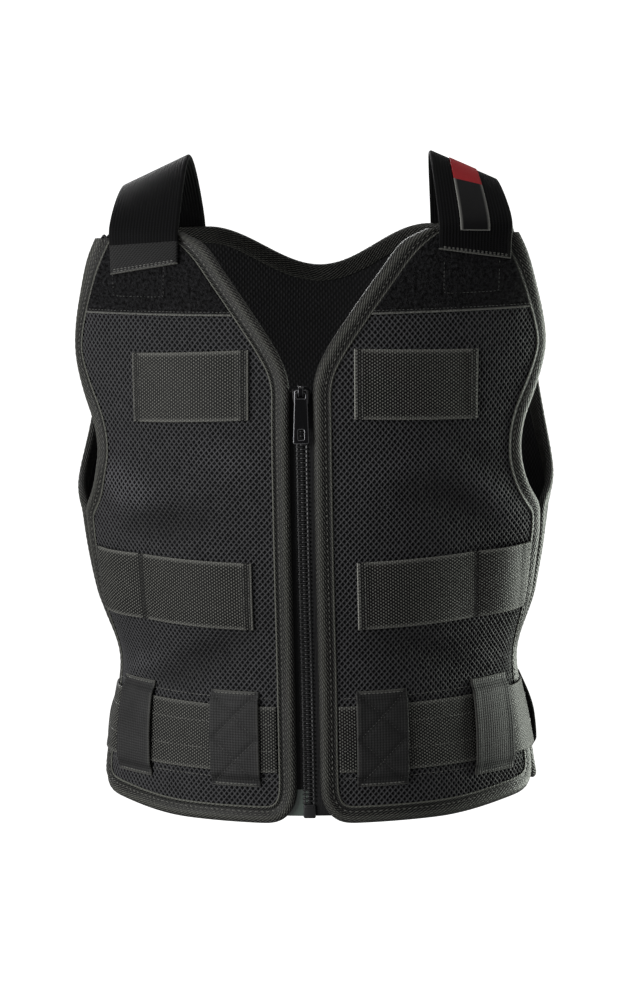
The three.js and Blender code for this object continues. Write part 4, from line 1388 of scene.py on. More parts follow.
@dataclass(frozen=True)
class ToolWebbing:
    """A length of webbing sewn across a front: flat at its seams, bowed off the cloth between them."""

    form: WornForm
    label: str
    start: float
    end: float
    top: float
    height: float
    drop: float
    seams: tuple
    bows: tuple
    base: float = 3.15
    thickness: float = 1.5
    fold: float = 8.0
    fold_rise: float = 0.7
    fold_ramp: float = 1.5
    rim: float = 0.75
    steps: tuple = (1.6, 2.6)
    # Tone and width of the pale selvedges, of the painted highlight on the folded ends, and of the painted
    # shade in the bands inside the ends and in the seams' valleys.
    selvedge_tone: tuple = (0.32, 1.6)
    end_tone: tuple = (0.9, 0.8)
    band_shade: tuple = (-0.5, 1.8)
    seam_shade: tuple = (-0.95, 2.0)
    band: float = 3.6
    end_rows: tuple = (2.2, 6.0)
    row_margin: float = 1.5

    def under(self, girth: Array) -> Array:
        """Lift of the underside: between two seams, the bow times a sine, so the seams lie in valleys.

        Args:
            girth: Girth of the places.

        Returns:
            Their lifts.
        """
        lift = np.full(np.shape(girth), self.base)
        for low, high, bow in zip(self.seams, self.seams[1:], self.bows):
            share = np.clip((girth - low) / (high - low), 0, 1)
            lift = lift + bow * np.sin(math.pi * share)
        return lift

    def full(self, girth: Array) -> Array:
        """Thickness, more where the ends are folded under."""
        near = near_rim(girth - self.start, self.end - self.start)
        return self.thickness + self.fold_rise * (1 - smooth((near - self.fold) / self.fold_ramp))

    def over(self, girth: Array, _: Array) -> Array:
        """Lift of the upper face."""
        return self.under(girth) + self.full(girth)

    def lower_edge(self, girth: Array) -> Array:
        """Height of the lower edge."""
        return self.top - self.height - self.drop * (girth - self.start) / (self.end - self.start)

    def build(self, side: Side) -> None:
        """The webbing and its stitches on one front.

        Args:
            side: The wearer's side.
        """
        place = partial(self.form.toward, side)
        length = self.end - self.start
        way, up, round_off = soft_grid((length, self.height), self.steps, self.rim)
        girth = self.start + way
        half = self.full(girth) / 2
        near = near_rim(way, length)
        selvedge = tint(self.selvedge_tone, near_rim(up, self.height))
        # Painted highlight on the folded ends, painted shade in the bands inside them and in the seams'
        # valleys.
        tone = np.maximum(selvedge, tint(self.end_tone, near)) + tint(self.band_shade, near - self.band)
        for seam in self.seams[1:-1]:
            tone = tone + tint(self.seam_shade, girth - seam)
        surface, thread = Surface(), Surface()
        flat = (girth, self.lower_edge(girth) + up)
        surface.band(place, flat, self.under(girth) + half, half * round_off, pairs(girth, up), tone)
        starts, ends = [self.start + row for row in self.end_rows], [self.end - row for row in self.end_rows]
        for row in (*starts, *ends, *self.seams[1:-1]):
            low = float(self.lower_edge(np.array(row)))
            path = line((row, low + self.row_margin), (row, low + self.height - self.row_margin))
            Seam().sew(thread, path, place, self.over)
        name = f"tool_webbing_{self.label}_{side.label}"
        dress(surface, name, [WEBBING], "tool_webbing", f"{self.label}_webbing_{side.label}")
        dress(thread, f"{name}_stitches", [FINE_THREAD])


@dataclass(frozen=True)
class WaistBelt:
    """The belt from one front edge round the back to the other, and the loops that hold it."""

    form: WornForm
    z: float = -433.0
    height: float = 52.0
    front: float = 24.0
    base: float = 3.15
    thickness: float = 1.5
    side: float = 205.0
    side_rise: float = 2.0
    side_reach: float = 20.0
    side_ramp: float = 16.0
    rim: float = 0.75
    belt_steps: tuple = (3.0, 2.6)
    # Tone and width of the pale selvedges.
    selvedge_tone: tuple = (0.22, 1.6)
    # Height off the belt's middle of the rows along it, and of the rows through the mesh.
    rows: tuple = (-9.0, 12.0)
    mesh_rows: tuple = (32.0, -31.0)
    mesh_top: float = 3.0
    row_margins: tuple = (3.0, 14.0)
    row_step: float = 20.0
    row_seam: Seam = Seam(pitch=3.4)
    mesh_seam: Seam = Seam(pitch=3.6, radius=0.3)
    quilt_seam: Seam = Seam(pitch=2.9, radius=0.32)
    bar_seam: Seam = Seam(pitch=3.0, length=2.6, radius=0.5)
    # Name, girth and stand-off of the belt loops.
    keepers: tuple = (("front", 57.0, 1.0), ("side", 155.0, 2.0), ("back", 252.0, 6.0))
    keeper_width: float = 40.0
    keeper_height: float = 75.0
    keeper_thickness: float = 1.4
    keeper_flat: float = 2.5
    keeper_ramp: float = 8.4
    keeper_gap: float = 0.2
    keeper_steps: tuple = (2.6, 1.6)
    keeper_row_step: float = 1.5
    # Width and rise of a loop's side hems.
    keeper_hem: tuple = (5.0, 0.35)
    keeper_margin: tuple = (2.4, 2.0)
    # Tone and width of a loop's pale ends and pale side, and of the painted shade in its creases beside the
    # belt.
    end_tone: tuple = (0.55, 0.9)
    side_tone: tuple = (0.3, 0.8)
    crease_shading: tuple = (-0.32, 1.6)
    crease: float = 30.5
    quilt: float = 17.6
    quilt_dent: float = 0.75
    quilt_width: float = 2.2
    # Tone per millimetre of quilting dent: painted shade in the dents.
    quilt_shade: float = -0.5

    def under(self, girth: Array) -> Array:
        """Lift of the belt's underside, raised over the bound side edges."""
        off = np.abs(np.abs(girth) - self.side) - self.side_reach
        return self.base + self.side_rise * (1 - smooth(off / self.side_ramp))

    def over(self, girth: Array, _: Array) -> Array:
        """Lift of the belt's upper face."""
        return self.under(girth) + self.thickness

    def build_belt(self) -> None:
        """The belt, with rows of stitches along it and through the mesh above and below it."""
        around = float(self.form.half_girth(self.z))
        reach = around - self.front
        way, up, round_off = soft_grid((2 * reach, self.height), self.belt_steps, self.rim)
        z = self.z - self.height / 2 + up
        half_girth = self.form.half_girth(z)
        from_back = (way / reach - 1) * (half_girth - self.front)
        half = self.thickness / 2
        lift = self.under(half_girth - np.abs(from_back)) + half
        tone = tint(self.selvedge_tone, near_rim(up, self.height))
        surface, thread = Surface(), Surface()
        surface.band(self.form.back, (from_back, z), lift, half * round_off, pairs(way, up), tone)
        dress(surface, "belt_webbing", [WEBBING], "tool_webbing", "waist_belt")
        start, end = self.front + self.row_margins[0], self.side - self.row_margins[1]
        rows = [(row, around, self.row_seam, self.over) for row in self.rows]
        rows += [(row, end, self.mesh_seam, partial(level, self.mesh_top)) for row in self.mesh_rows]
        for side in Side:
            for row, stop, seam, top in rows:
                path = resample(line((start, self.z + row), (stop, self.z + row)), self.row_step)
                seam.sew(thread, path, partial(self.form.toward, side), top)
        dress(thread, "belt_webbing_stitches", [THREAD])

    def dent(self, beside: Array, up: Array) -> Array:
        """Depth of the quilting, a bell across each slanting row: a diamond, and chevrons above and below.

        Args:
            beside: Girth from the loop's middle.
            up: Height from the loop's middle.

        Returns:
            The depth.
        """
        diamond = np.abs(np.abs(beside) + np.abs(up) - self.quilt)
        chevron = np.abs(np.abs(up) - self.quilt - np.abs(beside))
        return self.quilt_dent * bell(np.minimum(diamond, chevron), self.quilt_width)

    def keeper_lift(self, girth: Array, z: Array, stand_off: float) -> Array:
        """Lift of a loop's underside: on the cloth at its ends, and over the belt between them.

        Args:
            girth: Girth of the places.
            z: Their height.
            stand_off: How far the loop's middle stands off the belt.

        Returns:
            Their lifts.
        """
        up = np.abs(z - self.z)
        edge = self.keeper_height / 2
        raised = smooth((edge - self.keeper_flat - up) / self.keeper_ramp)
        bow = stand_off * np.cos(math.pi / 2 * np.clip(up / edge, 0, 1))
        return mix(self.base, self.over(girth, z) + self.keeper_gap + bow, raised)

    def keeper_top(self, middle: float, stand_off: float, quilted: bool, girth: Array, z: Array) -> Array:
        """Lift of a loop's upper face."""
        full = self.keeper_lift(girth, z, stand_off) + self.keeper_thickness
        return full - quilted * self.dent(girth - middle, z - self.z)

    def keeper_rows(self, quilted: bool) -> list[tuple]:
        """Stitched rows down a loop's sides and, where it is quilted, its slanting rows.

        Args:
            quilted: Whether it is.

        Returns:
            The corners of each row, from the loop's middle.
        """
        reach, tall = (self.keeper_width / 2, self.keeper_height / 2) - np.array(self.keeper_margin)
        rows: list[tuple] = [((x, -tall), (x, tall)) for x in (-reach, reach)]
        if quilted:
            peak = self.quilt
            rows.append(((0, peak), (peak, 0), (0, -peak), (-peak, 0), (0, peak)))
            rows += [((-peak, 2 * y), (0, y), (peak, 2 * y)) for y in (-peak, peak)]
        return rows

    def build_keeper(self, label: str, middle: float, stand_off: float, side: Side) -> None:
        """One belt loop with its stitches: a border, and a lattice of slanting rows on the front loop.

        Args:
            label: The loop's name.
            middle: Girth of its middle.
            stand_off: How far its middle stands off the belt.
            side: The wearer's side.
        """
        place = partial(self.form.toward, side)
        quilted = label == "front"
        wide, tall = self.keeper_width, self.keeper_height
        beside, up, round_off = soft_grid((wide, tall), self.keeper_steps, self.rim)
        girth, z = middle - wide / 2 + beside, self.z - tall / 2 + up
        hem_width, hem_rise = self.keeper_hem
        hem = hem_rise * (1 - smooth(near_rim(beside, wide) - hem_width))
        half = (self.keeper_thickness + hem) / 2
        sunk = quilted * self.dent(girth - middle, z - self.z)
        lift = self.keeper_lift(girth, z, stand_off) + half
        tone = np.maximum(tint(self.end_tone, near_rim(up, tall)), tint(self.side_tone, beside))
        # Painted shade in the quilting's dents and in the creases beside the belt.
        tone = tone + self.quilt_shade * sunk + tint(self.crease_shading, np.abs(z - self.z) - self.crease)
        surface, thread, quilting = Surface(), Surface(), Surface()
        surface.shell(
            place(girth, z, lift + (half - sunk) * round_off),
            place(girth, z, lift - half * round_off),
            pairs(girth, up),
            tone,
        )
        top = partial(self.keeper_top, middle, stand_off, quilted)
        reach, end = (wide / 2, tall / 2) - np.array(self.keeper_margin)
        bars = [((-reach, y), (reach, y)) for y in (-end, end)]
        for taker, seam, rows in (
            (quilting, self.quilt_seam, self.keeper_rows(quilted)),
            (thread, self.bar_seam, bars),
        ):
            for row in rows:
                path = resample(line(*row) + (middle, self.z), self.keeper_row_step)
                seam.sew(taker, path, place, top)
        name = f"belt_keeper_{label}_{side.label}"
        dress(surface, name, [KEEPER], "tool_webbing", f"belt_loop_{label}_{side.label}")
        dress(quilting, f"{name}_quilting", [FINE_THREAD])
        dress(thread, f"{name}_stitches", [THREAD])


@dataclass(frozen=True)
class LoopPatch:
    """The soft pile over the top of a front, from its seam up and over the shoulder edge."""

    form: WornForm
    cuts: Cuts = Cuts()
    seam: float = -106.0
    lowest: float = -150.0
    neck_stretch: float = 1.06
    base: float = 3.1
    thickness: float = 1.5
    margin: float = 0.5
    inside_reach: float = 9.0
    # Distance between rows and width of their rim, and the same across, as shares of the width.
    row_step: float = 1.3
    row_rim: float = 0.7
    column_share: float = 0.011
    rim_share: float = 0.006
    # Number of rows round the shoulder edge, down the inside, and over which either end thickens.
    turn_rows: int = 8
    inside_rows: int = 5
    end_rows: float = 4.0
    turn_gap: float = 0.4
    # Tone of the lower edge, its width and the width of its fade.
    edge_tone: tuple = (0.6, 0.8, 0.6)
    seam_rise: float = 3.0
    seam_inset: float = 1.0
    stitch_step: float = 6.0
    # Thread radius of the seam and of the outline.
    stitch_radii: tuple = (0.36, 0.28)
    # Stitched outline of the hook tape under the strap's end.
    box: tuple = ((154, -68), (154, -92), (109, -92), (109, -68))
    fuzz: float = 0.28
    seed: int = 7

    def build(self, side: Side) -> None:
        """The patch and the stitches of its seam on one front.

        Each row runs from the inner line of the neck binding to that of the armhole binding. Past the
        top edge the rows go round a half circle and down the inside.

        Args:
            side: The wearer's side.
        """
        place = partial(self.form.toward, side)
        stations = self.cuts.front_edge()
        half = len(stations.inner) // 2
        neck, arm = stations.inner[:half][::-1], stations.inner[half:]
        neck, arm = neck[neck[:, 1] > self.lowest], arm[arm[:, 1] > self.lowest]
        rise = spread(self.cuts.shoulder - self.seam, self.row_step, self.row_rim)
        z_neck = np.minimum(self.seam + rise * self.neck_stretch, neck[-1, 1])
        z_arm = self.seam + rise
        across = spread(1.0, self.column_share, self.rim_share)
        start = np.interp(z_neck, np.maximum.accumulate(neck[:, 1]), neck[:, 0]) + self.margin
        end = np.interp(z_arm, np.maximum.accumulate(arm[:, 1]), arm[:, 0]) - self.margin
        girth = mix(start[:, None], end[:, None], across[None])
        z = mix(z_neck[:, None], z_arm[:, None], across[None])
        turn = np.linspace(0, math.pi, self.turn_rows + 1)[1:]
        radius = self.base / 2 + self.thickness / 2 + self.turn_gap
        down = np.linspace(0, self.inside_reach, self.inside_rows + 1)[1:]
        over_z = np.concatenate([radius * np.sin(turn), -down])
        mid = self.base + self.thickness / 2
        round_lift = mid - radius + radius * np.cos(turn)
        lift = np.concatenate([np.full(len(rise), mid), round_lift, np.full(len(down), mid - 2 * radius)])
        lean = np.concatenate([np.zeros(len(rise)), turn, np.full(len(down), math.pi)])[:, None]
        girth = np.concatenate([girth, np.repeat(girth[-1:], len(over_z), axis=0)])
        z = np.concatenate([z, z[-1:] + over_z[:, None]])
        ends = np.minimum(near_rim(np.arange(len(z)), len(z) - 1) / self.end_rows, 1.0)
        sides = np.sqrt(np.clip(near_rim(across, 1.0) / self.rim_share, 0, 1))
        thick = ends[:, None] * sides[None] * self.thickness / 2
        noise = np.random.default_rng(self.seed + side.value).normal(size=z.shape)
        noise = (noise + np.roll(noise, 1, 0) + np.roll(noise, 1, 1) + np.roll(noise, -1, 1)) / 2
        outer = thick * (1 + self.fuzz * noise * (thick > 0))
        shade, width, fade = self.edge_tone
        tone = np.zeros(z.shape)
        tone[: len(rise)] = shade * (1 - smooth((rise - width) / fade))[:, None]
        surface, thread = Surface(), Surface()
        surface.shell(
            place(girth, z + np.sin(lean) * outer, lift[:, None] + np.cos(lean) * outer),
            place(girth, z - np.sin(lean) * thick, lift[:, None] - np.cos(lean) * thick),
            pairs(girth, z + 4 * lean),
            tone,
        )
        low = self.seam + self.seam_rise
        top = partial(level, self.base + self.thickness)
        row = ((start[0] + self.seam_inset, low), (end[0] - self.seam_inset, low))
        for corners, radius in zip((row, self.box), self.stitch_radii):
            Seam(radius=radius).sew(thread, resample(line(*corners), self.stitch_step), place, top)
        name = f"pile_patch_{side.label}"
        dress(surface, name, [PILE], "loop_pile", f"loop_patch_{side.label}")
        dress(thread, f"{name}_stitches", [FINE_THREAD])


def bilinear(values: Array, column: Array, row: Array) -> Array:
    """Values between the points of a grid: a blend of the four points round each place.

    Args:
        values: Values of the points, by row and column.
        column: Column of each place, with its fraction.
        row: Row of each place, with its fraction.

    Returns:
        The blended values.
    """
    i, j = column.astype(int), row.astype(int)
    s, t = (column - i)[..., None], (row - j)[..., None]
    return mix(*(mix(values[k, i], values[k, i + 1], s) for k in (j, j + 1)), t)


@dataclass(frozen=True)
class ShoulderStrap:
    """A ribbed strap over the shoulder, fastened on the front's pile and sewn to the back."""

    form: WornForm
    front_girth: tuple = (100.0, 158.0)
    front_z: tuple = (-63.0, -72.0)
    # The vest sits a little askew: the front ends lie this far to the left, and higher on the left.
    askew: tuple = (4.0, 4.0)
    back_girth: tuple = (92.0, 146.0)
    back_z: tuple = (-84.0, -88.0)
    crest_x: tuple = (94.0, 147.0)
    crest_y: float = 8.0
    crest_z: tuple = (12.0, -12.0)
    leaves_z: float = -40.0
    front_lift: float = 5.2
    back_lift: float = 3.6
    thickness: float = 3.4
    rim: float = 1.5
    width: float = 56.0
    length: float = 320.0
    steps: tuple = (3.2, 2.4)
    # Columns and rows of the grid from which places on the strap are read.
    grid: tuple = (24, 160)
    row_step: float = 4.0
    end_share: float = 0.2
    # Tone and width of the pale front end, and of the painted highlight along the arm side's edge on the
    # right and the left strap.
    end_tone: tuple = (0.75, 1.6)
    arm_edge_highlights: tuple = ((0.05, 1.0), (0.3, 1.0))
    # Rows of stitches, as shares of the width and length: two at the front end, a crossed box at the back.
    rows: tuple = (
        ((0.05, 0.016), (0.95, 0.016)), ((0.05, 0.03), (0.95, 0.03)),
        ((0.06, 0.975), (0.94, 0.975)), ((0.06, 0.90), (0.94, 0.90)),
        ((0.06, 0.90), (0.94, 0.975)), ((0.94, 0.90), (0.06, 0.975)),
    )
    label_across: tuple = (0.28, 0.68)
    label_along: tuple = (0.25, 0.5)
    label_length: float = 56.0
    label_thickness: float = 0.7
    label_gap: float = 0.1
    label_steps: tuple = (2.0, 2.0)
    label_rim: float = 0.4
    label_tone: tuple = (0.5, 0.5)
    red_share: float = 0.68

    def guides(self, across: Array, side: Side) -> Array:
        """Points that the strap's lengthwise lines go through.

        Args:
            across: Shares of the width, from the neck side.
            side: The wearer's side.

        Returns:
            Seven points of each line, front end to back end.
        """
        sign = side.value
        front = sign * (mix(*self.front_girth, across) + sign * self.askew[0])
        front_z = mix(*self.front_z, across) + sign * self.askew[1]
        back, back_z = sign * mix(*self.back_girth, across), mix(*self.back_z, across)
        crest = (sign * mix(*self.crest_x, across), np.full(len(across), self.crest_y))
        crest = np.stack([*crest, mix(*self.crest_z, across)], axis=-1)
        leaves = np.full(len(across), self.leaves_z)
        ahead = [self.form.front(front, mix(front_z, leaves, t), self.front_lift) for t in (0, 0.5, 1)]
        behind = [self.form.back(back, mix(leaves, back_z, t), self.back_lift) for t in (0, 0.5, 1)]
        return np.stack([*ahead, crest, *behind])

    def underside(self, across: Array, along: Array, side: Side) -> tuple[Array, Array]:
        """Points and outward normals of the underside.

        Each line is a centripetal spline: a cubic between two guides whose slopes come from the guides'
        spacing to the power of a half. The normal is across the line and the strap's width.

        Args:
            across: Shares of the width, from the neck side.
            along: Shares of the length, from the front end.
            side: The wearer's side.

        Returns:
            Points and normals, rows along by columns across.
        """
        guides = self.guides(across, side)
        ends = (2 * guides[:1] - guides[1:2], 2 * guides[-1:] - guides[-2:-1])
        padded = np.concatenate([ends[0], guides, ends[1]])
        step = np.diff(padded, axis=0)
        gap = np.sqrt(np.linalg.norm(step, axis=-1, keepdims=True))
        slope = step[:-1] / gap[:-1] - (step[:-1] + step[1:]) / (gap[:-1] + gap[1:]) + step[1:] / gap[1:]
        place = along * (len(guides) - 1)
        span = np.clip(place.astype(int), 0, len(guides) - 2)
        t = (place - span)[:, None, None]
        width = gap[1:-1][span]
        out, into = slope[:-1][span] * width, slope[1:][span] * width
        points = mix(guides[span], guides[span + 1], t * t * (3 - 2 * t))
        points = points + out * t * (1 - t) ** 2 - into * t * t * (1 - t)
        normal = np.cross(np.gradient(points, axis=0), np.gradient(points, axis=1)) * -side.value
        return points, normal / np.linalg.norm(normal, axis=-1, keepdims=True)

    def strip(
        self, surface: Surface, shares: tuple[Array, Array], side: Side, rise: float, half: Array,
        tone: Array, row_finish: Array,
    ) -> None:
        """Adds a strip over the underside.

        Args:
            surface: Takes the strip.
            shares: Shares of the strap's width and of its length.
            side: The wearer's side.
            rise: Distance of the strip's middle off the underside.
            half: Half the strip's thickness, rows along by columns across.
            tone: Tone of the points.
            row_finish: Finish number of each row of faces.
        """
        across, along = shares
        points, normals = self.underside(across, along, side)
        middle, out = points + normals * rise, normals * half[..., None]
        length = along_path(points[:, len(across) // 2])
        cloth = pairs(across[None] * self.width, length[:, None])
        surface.shell(middle + out, middle - out, cloth, tone, row_finish)

    def off(self, side: Side, u: Array, v: Array, lift: Array) -> Array:
        """Points on the strap, lifted off its underside.

        Args:
            side: The wearer's side.
            u: Distance across the strap.
            v: Distance along it.
            lift: Distance off the underside.

        Returns:
            The points.
        """
        columns, rows = self.grid
        grid, normals = self.underside(np.linspace(0, 1, columns + 1), np.linspace(0, 1, rows + 1), side)
        column = np.clip(u / self.width * columns, 0, columns - 0.001)
        row = np.clip(v / self.length * rows, 0, rows - 0.001)
        return bilinear(grid, column, row) + bilinear(normals, column, row) * np.asarray(lift)[..., None]

    def build(self, side: Side) -> None:
        """The strap, its end stitches and, on the left, its label.

        Args:
            side: The wearer's side.
        """
        across, along, round_off = soft_grid((self.width, self.length), self.steps, self.rim)
        # Painted highlight along the arm side's edge, stronger on the left strap.
        edge_tone = self.arm_edge_highlights[side is Side.LEFT]
        tone = np.maximum(tint(self.end_tone, along), tint(edge_tone, self.width - across))
        shares = across[0] / self.width, along[:, 0] / self.length
        finish = ((shares[1][:-1] < self.end_share) & (side is Side.RIGHT)).astype(int)
        surface, thread = Surface(), Surface()
        half = self.thickness / 2
        self.strip(surface, shares, side, half, half * round_off, tone, finish)
        name = f"ribbed_strap_{side.label}"
        dress(surface, name, [STRAP, STRAP_END], "strap_webbing", f"shoulder_strap_{side.label}")
        for row in self.rows:
            path = resample(line(*row) * (self.width, self.length), self.row_step)
            Seam().sew(thread, path, partial(self.off, side), partial(level, self.thickness))
        dress(thread, f"{name}_stitches", [THREAD])
        if side is Side.LEFT:
            self.build_label()

    def build_label(self) -> None:
        """The bare woven label: black, with a red end over the shoulder."""
        long, wide = self.label_length, self.width * (self.label_across[1] - self.label_across[0])
        across, along, round_off = soft_grid((wide, long), self.label_steps, self.label_rim)
        tone = tint(self.label_tone, np.minimum(near_rim(across, wide), near_rim(along, long)))
        shares = mix(*self.label_across, across[0] / wide), mix(*self.label_along, along[:, 0] / long)
        surface = Surface()
        half = self.label_thickness / 2
        red = (along[:-1, 0] / long > self.red_share).astype(int)
        rise = self.thickness + self.label_gap + half
        self.strip(surface, shares, Side.LEFT, rise, half * round_off, tone, red)
        dress(surface, "woven_label", [LABEL, LABEL_RED], "label_cloth", "strap_label")


def oriented(flat: Array, faces: Array, sign: float) -> Array:
    """Turns the triangles of a flat face one way.

    Args:
        flat: The points.
        faces: The triangles' point numbers.
        sign: 1 to face up, -1 to face down.

    Returns:
        The turned triangles.
    """
    a, b, c = (flat[faces[:, k], :2] for k in range(3))
    area = (b - a)[:, 0] * (c - a)[:, 1] - (b - a)[:, 1] * (c - a)[:, 0]
    return np.where((area * sign > 0)[:, None], faces, faces[:, ::-1])


def plate(
    surface: Surface, loops: Sequence[Array], lifts: tuple[float, float], bevel: float, place: Place,
    rim: int = 0,
) -> None:
    """Adds a flat plate with holes and rounded edges.

    Each loop is carried up in rings: a quarter circle out from its inset, straight up, and a quarter
    circle back in. The first and last rings bound the two faces.

    Args:
        surface: Takes the plate.
        loops: The outline, anticlockwise, then the holes, clockwise.
        lifts: Lifts of the lower and the upper face.
        bevel: Radius of the edges.
        place: Gives points from the loop's two numbers and a lift.
        rim: Finish number of the edges.
    """
    low, high = lifts
    turn = np.linspace(0, math.pi / 2, BEVEL_POINTS)
    inset = bevel * np.concatenate([1 - np.sin(turn), 1 - np.sin(turn[::-1])])
    heights = np.concatenate([low + bevel * (1 - np.cos(turn)), high - bevel * (1 - np.cos(turn[::-1]))])
    points, walls, bottom, top, count = [], [], [], [], 0
    for loop in loops:
        ahead, behind = np.roll(loop, -1, axis=0) - loop, loop - np.roll(loop, 1, axis=0)
        ahead /= np.linalg.norm(ahead, axis=1, keepdims=True)
        behind /= np.linalg.norm(behind, axis=1, keepdims=True)
        way = ahead + behind
        left = np.stack([-way[:, 1], way[:, 0]], axis=-1) / (1 + np.sum(ahead * behind, axis=1))[:, None]
        rings = loop[None] + left[None] * inset[:, None, None]
        height = np.broadcast_to(heights[:, None], rings.shape[:2])
        points.append(np.concatenate([rings, height[..., None]], axis=-1).reshape(-1, 3))
        index, faces = tube(len(heights), len(loop))
        walls.append(faces + count)
        bottom.append(index[0] + count)
        top.append(index[-1] + count)
        count += index.size
    flat = np.concatenate(points)
    caps = []
    for rings, sign in ((bottom, -1.0), (top, 1.0)):
        outline = [[Vector((*flat[k, :2], 0.0)) for k in ring] for ring in rings]
        faces = np.concatenate(rings)[np.array(tessellate_polygon(outline))]
        caps.append(oriented(flat, faces, sign))
    surface.add(place(*flat.T), [np.concatenate(walls), *caps], flat[:, :2], finishes=[rim, 0, 0])


def rounded_box(low: tuple[float, float], high: tuple[float, float], radius: float) -> Array:
    """A rectangle with round corners.

    Args:
        low: Its low corner.
        high: Its high corner.
        radius: Radius of its corners.

    Returns:
        The outline, anticlockwise.
    """
    turn = np.linspace(0, math.pi / 2, CORNER_POINTS)
    middles = ((high[0], high[1]), (low[0], high[1]), (low[0], low[1]), (high[0], low[1]))
    inward = ((-1, -1), (1, -1), (1, 1), (-1, 1))
    arcs = [
        np.array(corner) + radius * np.array(way)
        + radius * np.stack([np.cos(turn + k * math.pi / 2), np.sin(turn + k * math.pi / 2)], axis=-1)
        for k, (corner, way) in enumerate(zip(middles, inward))
    ]
    return np.concatenate(arcs)


@dataclass(frozen=True)
class FrontZip:
    """The moulded zip: two tapes, two rows of teeth, a stop, a slider and its pull."""

    form: WornForm
    tape: tuple = (0.1, 21.0)
    tape_rim: float = 0.4
    tape_steps: tuple = (1.6, 4.0)
    tape_z: tuple = (-494.0, -163.0)
    tape_lift: tuple = (-3.1, -2.1)
    film_z: tuple = (-494.0, -473.0)
    film_lift: tuple = (-2.06, -1.8)
    chain_bottom: float = -485.0
    chain_top: float = -166.0
    tooth_pitch: float = 3.4
    # From the chain's foot to the lowest tooth, and least from the highest to the chain's top.
    tooth_margins: tuple = (1.5, 1.0)
    # Girth and height round a tooth, from its root: a neck, and a head past the centre line.
    tooth: tuple = (
        (5.2, -0.75), (2.6, -0.72), (1.2, -0.5), (0.3, -0.8), (-0.8, -0.8), (-1.6, -0.4),
        (-1.6, 0.4), (-0.8, 0.8), (0.3, 0.8), (1.2, 0.5), (2.6, 0.72), (5.2, 0.75),
    )
    # Lift and size of a tooth's layers.
    tooth_layers: tuple = (
        (-4.5, 0.78), (-4.1, 1.0), (-1.3, 1.0), (-0.85, 0.92), (-0.6, 0.72), (-0.5, 0.4),
    )
    # Girth, lift and radius of the cord along a tape's edge.
    cord: tuple = (3.6, -2.6, 1.1)
    cord_sides: int = 8
    cord_rows: int = 60
    stop_width: float = 9.6
    stop_z: tuple = (-495.5, -484.5)
    stop_lift: tuple = (-5.2, 0.2)
    # The rib: inset from the stop's sides, heights from its top and lifts from its face.
    rib_inset: float = 1.2
    rib_z: tuple = (-3.4, -1.6)
    rib_lift: tuple = (-0.4, 0.5)
    # Corner radius and bevel of the stop, its rib, the slider's rails and the pull.
    stop_round: tuple = (1.4, 0.7)
    rib_round: tuple = (0.6, 0.3)
    rail_round: tuple = (0.7, 0.4)
    pull_round: tuple = (1.6, 0.45)
    slider_z: float = -166.0
    slider_length: float = 15.0
    wing: tuple = (
        (-5.5, -7.5), (5.5, -7.5), (7.0, 0.0), (7.0, 5.2), (3.5, 7.5), (-3.5, 7.5), (-7.0, 5.2), (-7.0, 0.0),
    )
    wing_lifts: tuple = ((0.2, 1.8), (-7.9, -6.3))
    wing_step: float = 0.8
    wing_ease: float = 1.2
    wing_bevel: float = 0.55
    # Low and high corner and corner radius of the slider's post and of the pull's eye and slot.
    post: tuple = ((-1.5, 4.5), (1.5, 6.9), 0.8)
    eye: tuple = ((-3.3, -5.4), (3.3, -1.2), 0.8)
    slot: tuple = ((-2.4, -37.0), (2.4, -29.0), 1.0)
    post_lifts: tuple = (-6.6, 0.5)
    post_bevel: float = 0.1
    rails: tuple = (-4.6, 4.6)
    rail_half: float = 0.8
    rail_ends: tuple = (-6.4, 4.0)
    rail_lifts: tuple = (1.5, 2.5)
    lug_radii: tuple = (2.2, 4.0)
    lug_round: float = 0.6
    lug_rim: float = 0.55
    lug_sides: int = 28
    lug_width: float = 4.0
    lug_lift: float = 4.4
    lug_z: float = 3.0
    pull_width: tuple = (9.6, 12.0)
    pull_length: float = 40.0
    pull_flare: float = -24.0
    pull_thickness: float = 2.0
    pull_top: float = 1.2
    hard_edge: float = 40.0

    def build(self) -> None:
        """All the pieces of the zip."""
        for side in Side:
            self.build_tape(side, "zip_cloth", TAPE, "zip_tape", self.tape_z, self.tape_lift, "zip_tape")
            if side is Side.RIGHT:
                self.build_tape(side, "zip_end_film", FILM, "zip_plastic", self.film_z, self.film_lift)
            self.build_teeth(side)
        self.build_stop()
        self.build_slider()
        self.build_pull()

    def build_tape(
        self, side: Side, label: str, finish: Finish, slot: str, ends: tuple, lifts: tuple, *nodes: str
    ) -> None:
        """A tape behind one front edge, or the clear film on its lower end.

        Args:
            side: The wearer's side.
            label: The piece's name without its side.
            finish: The piece's finish.
            slot: The record's material slot.
            ends: Lower and upper height.
            lifts: Lifts of the inner and the outer face.
            nodes: CAD nodes that it stands for, without the side.
        """
        width, length = self.tape[1] - self.tape[0], ends[1] - ends[0]
        across, up, round_off = soft_grid((width, length), self.tape_steps, self.tape_rim)
        girth = self.tape[0] + across
        middle, half = (lifts[0] + lifts[1]) / 2, (lifts[1] - lifts[0]) / 2
        surface = Surface()
        place = partial(self.form.toward, side)
        cloth, tone = pairs(girth, up), np.zeros(girth.shape)
        surface.band(place, (girth, ends[0] + up), middle, half * round_off, cloth, tone)
        dress(surface, f"{label}_{side.label}", [finish], slot, *(f"{node}_{side.label}" for node in nodes))

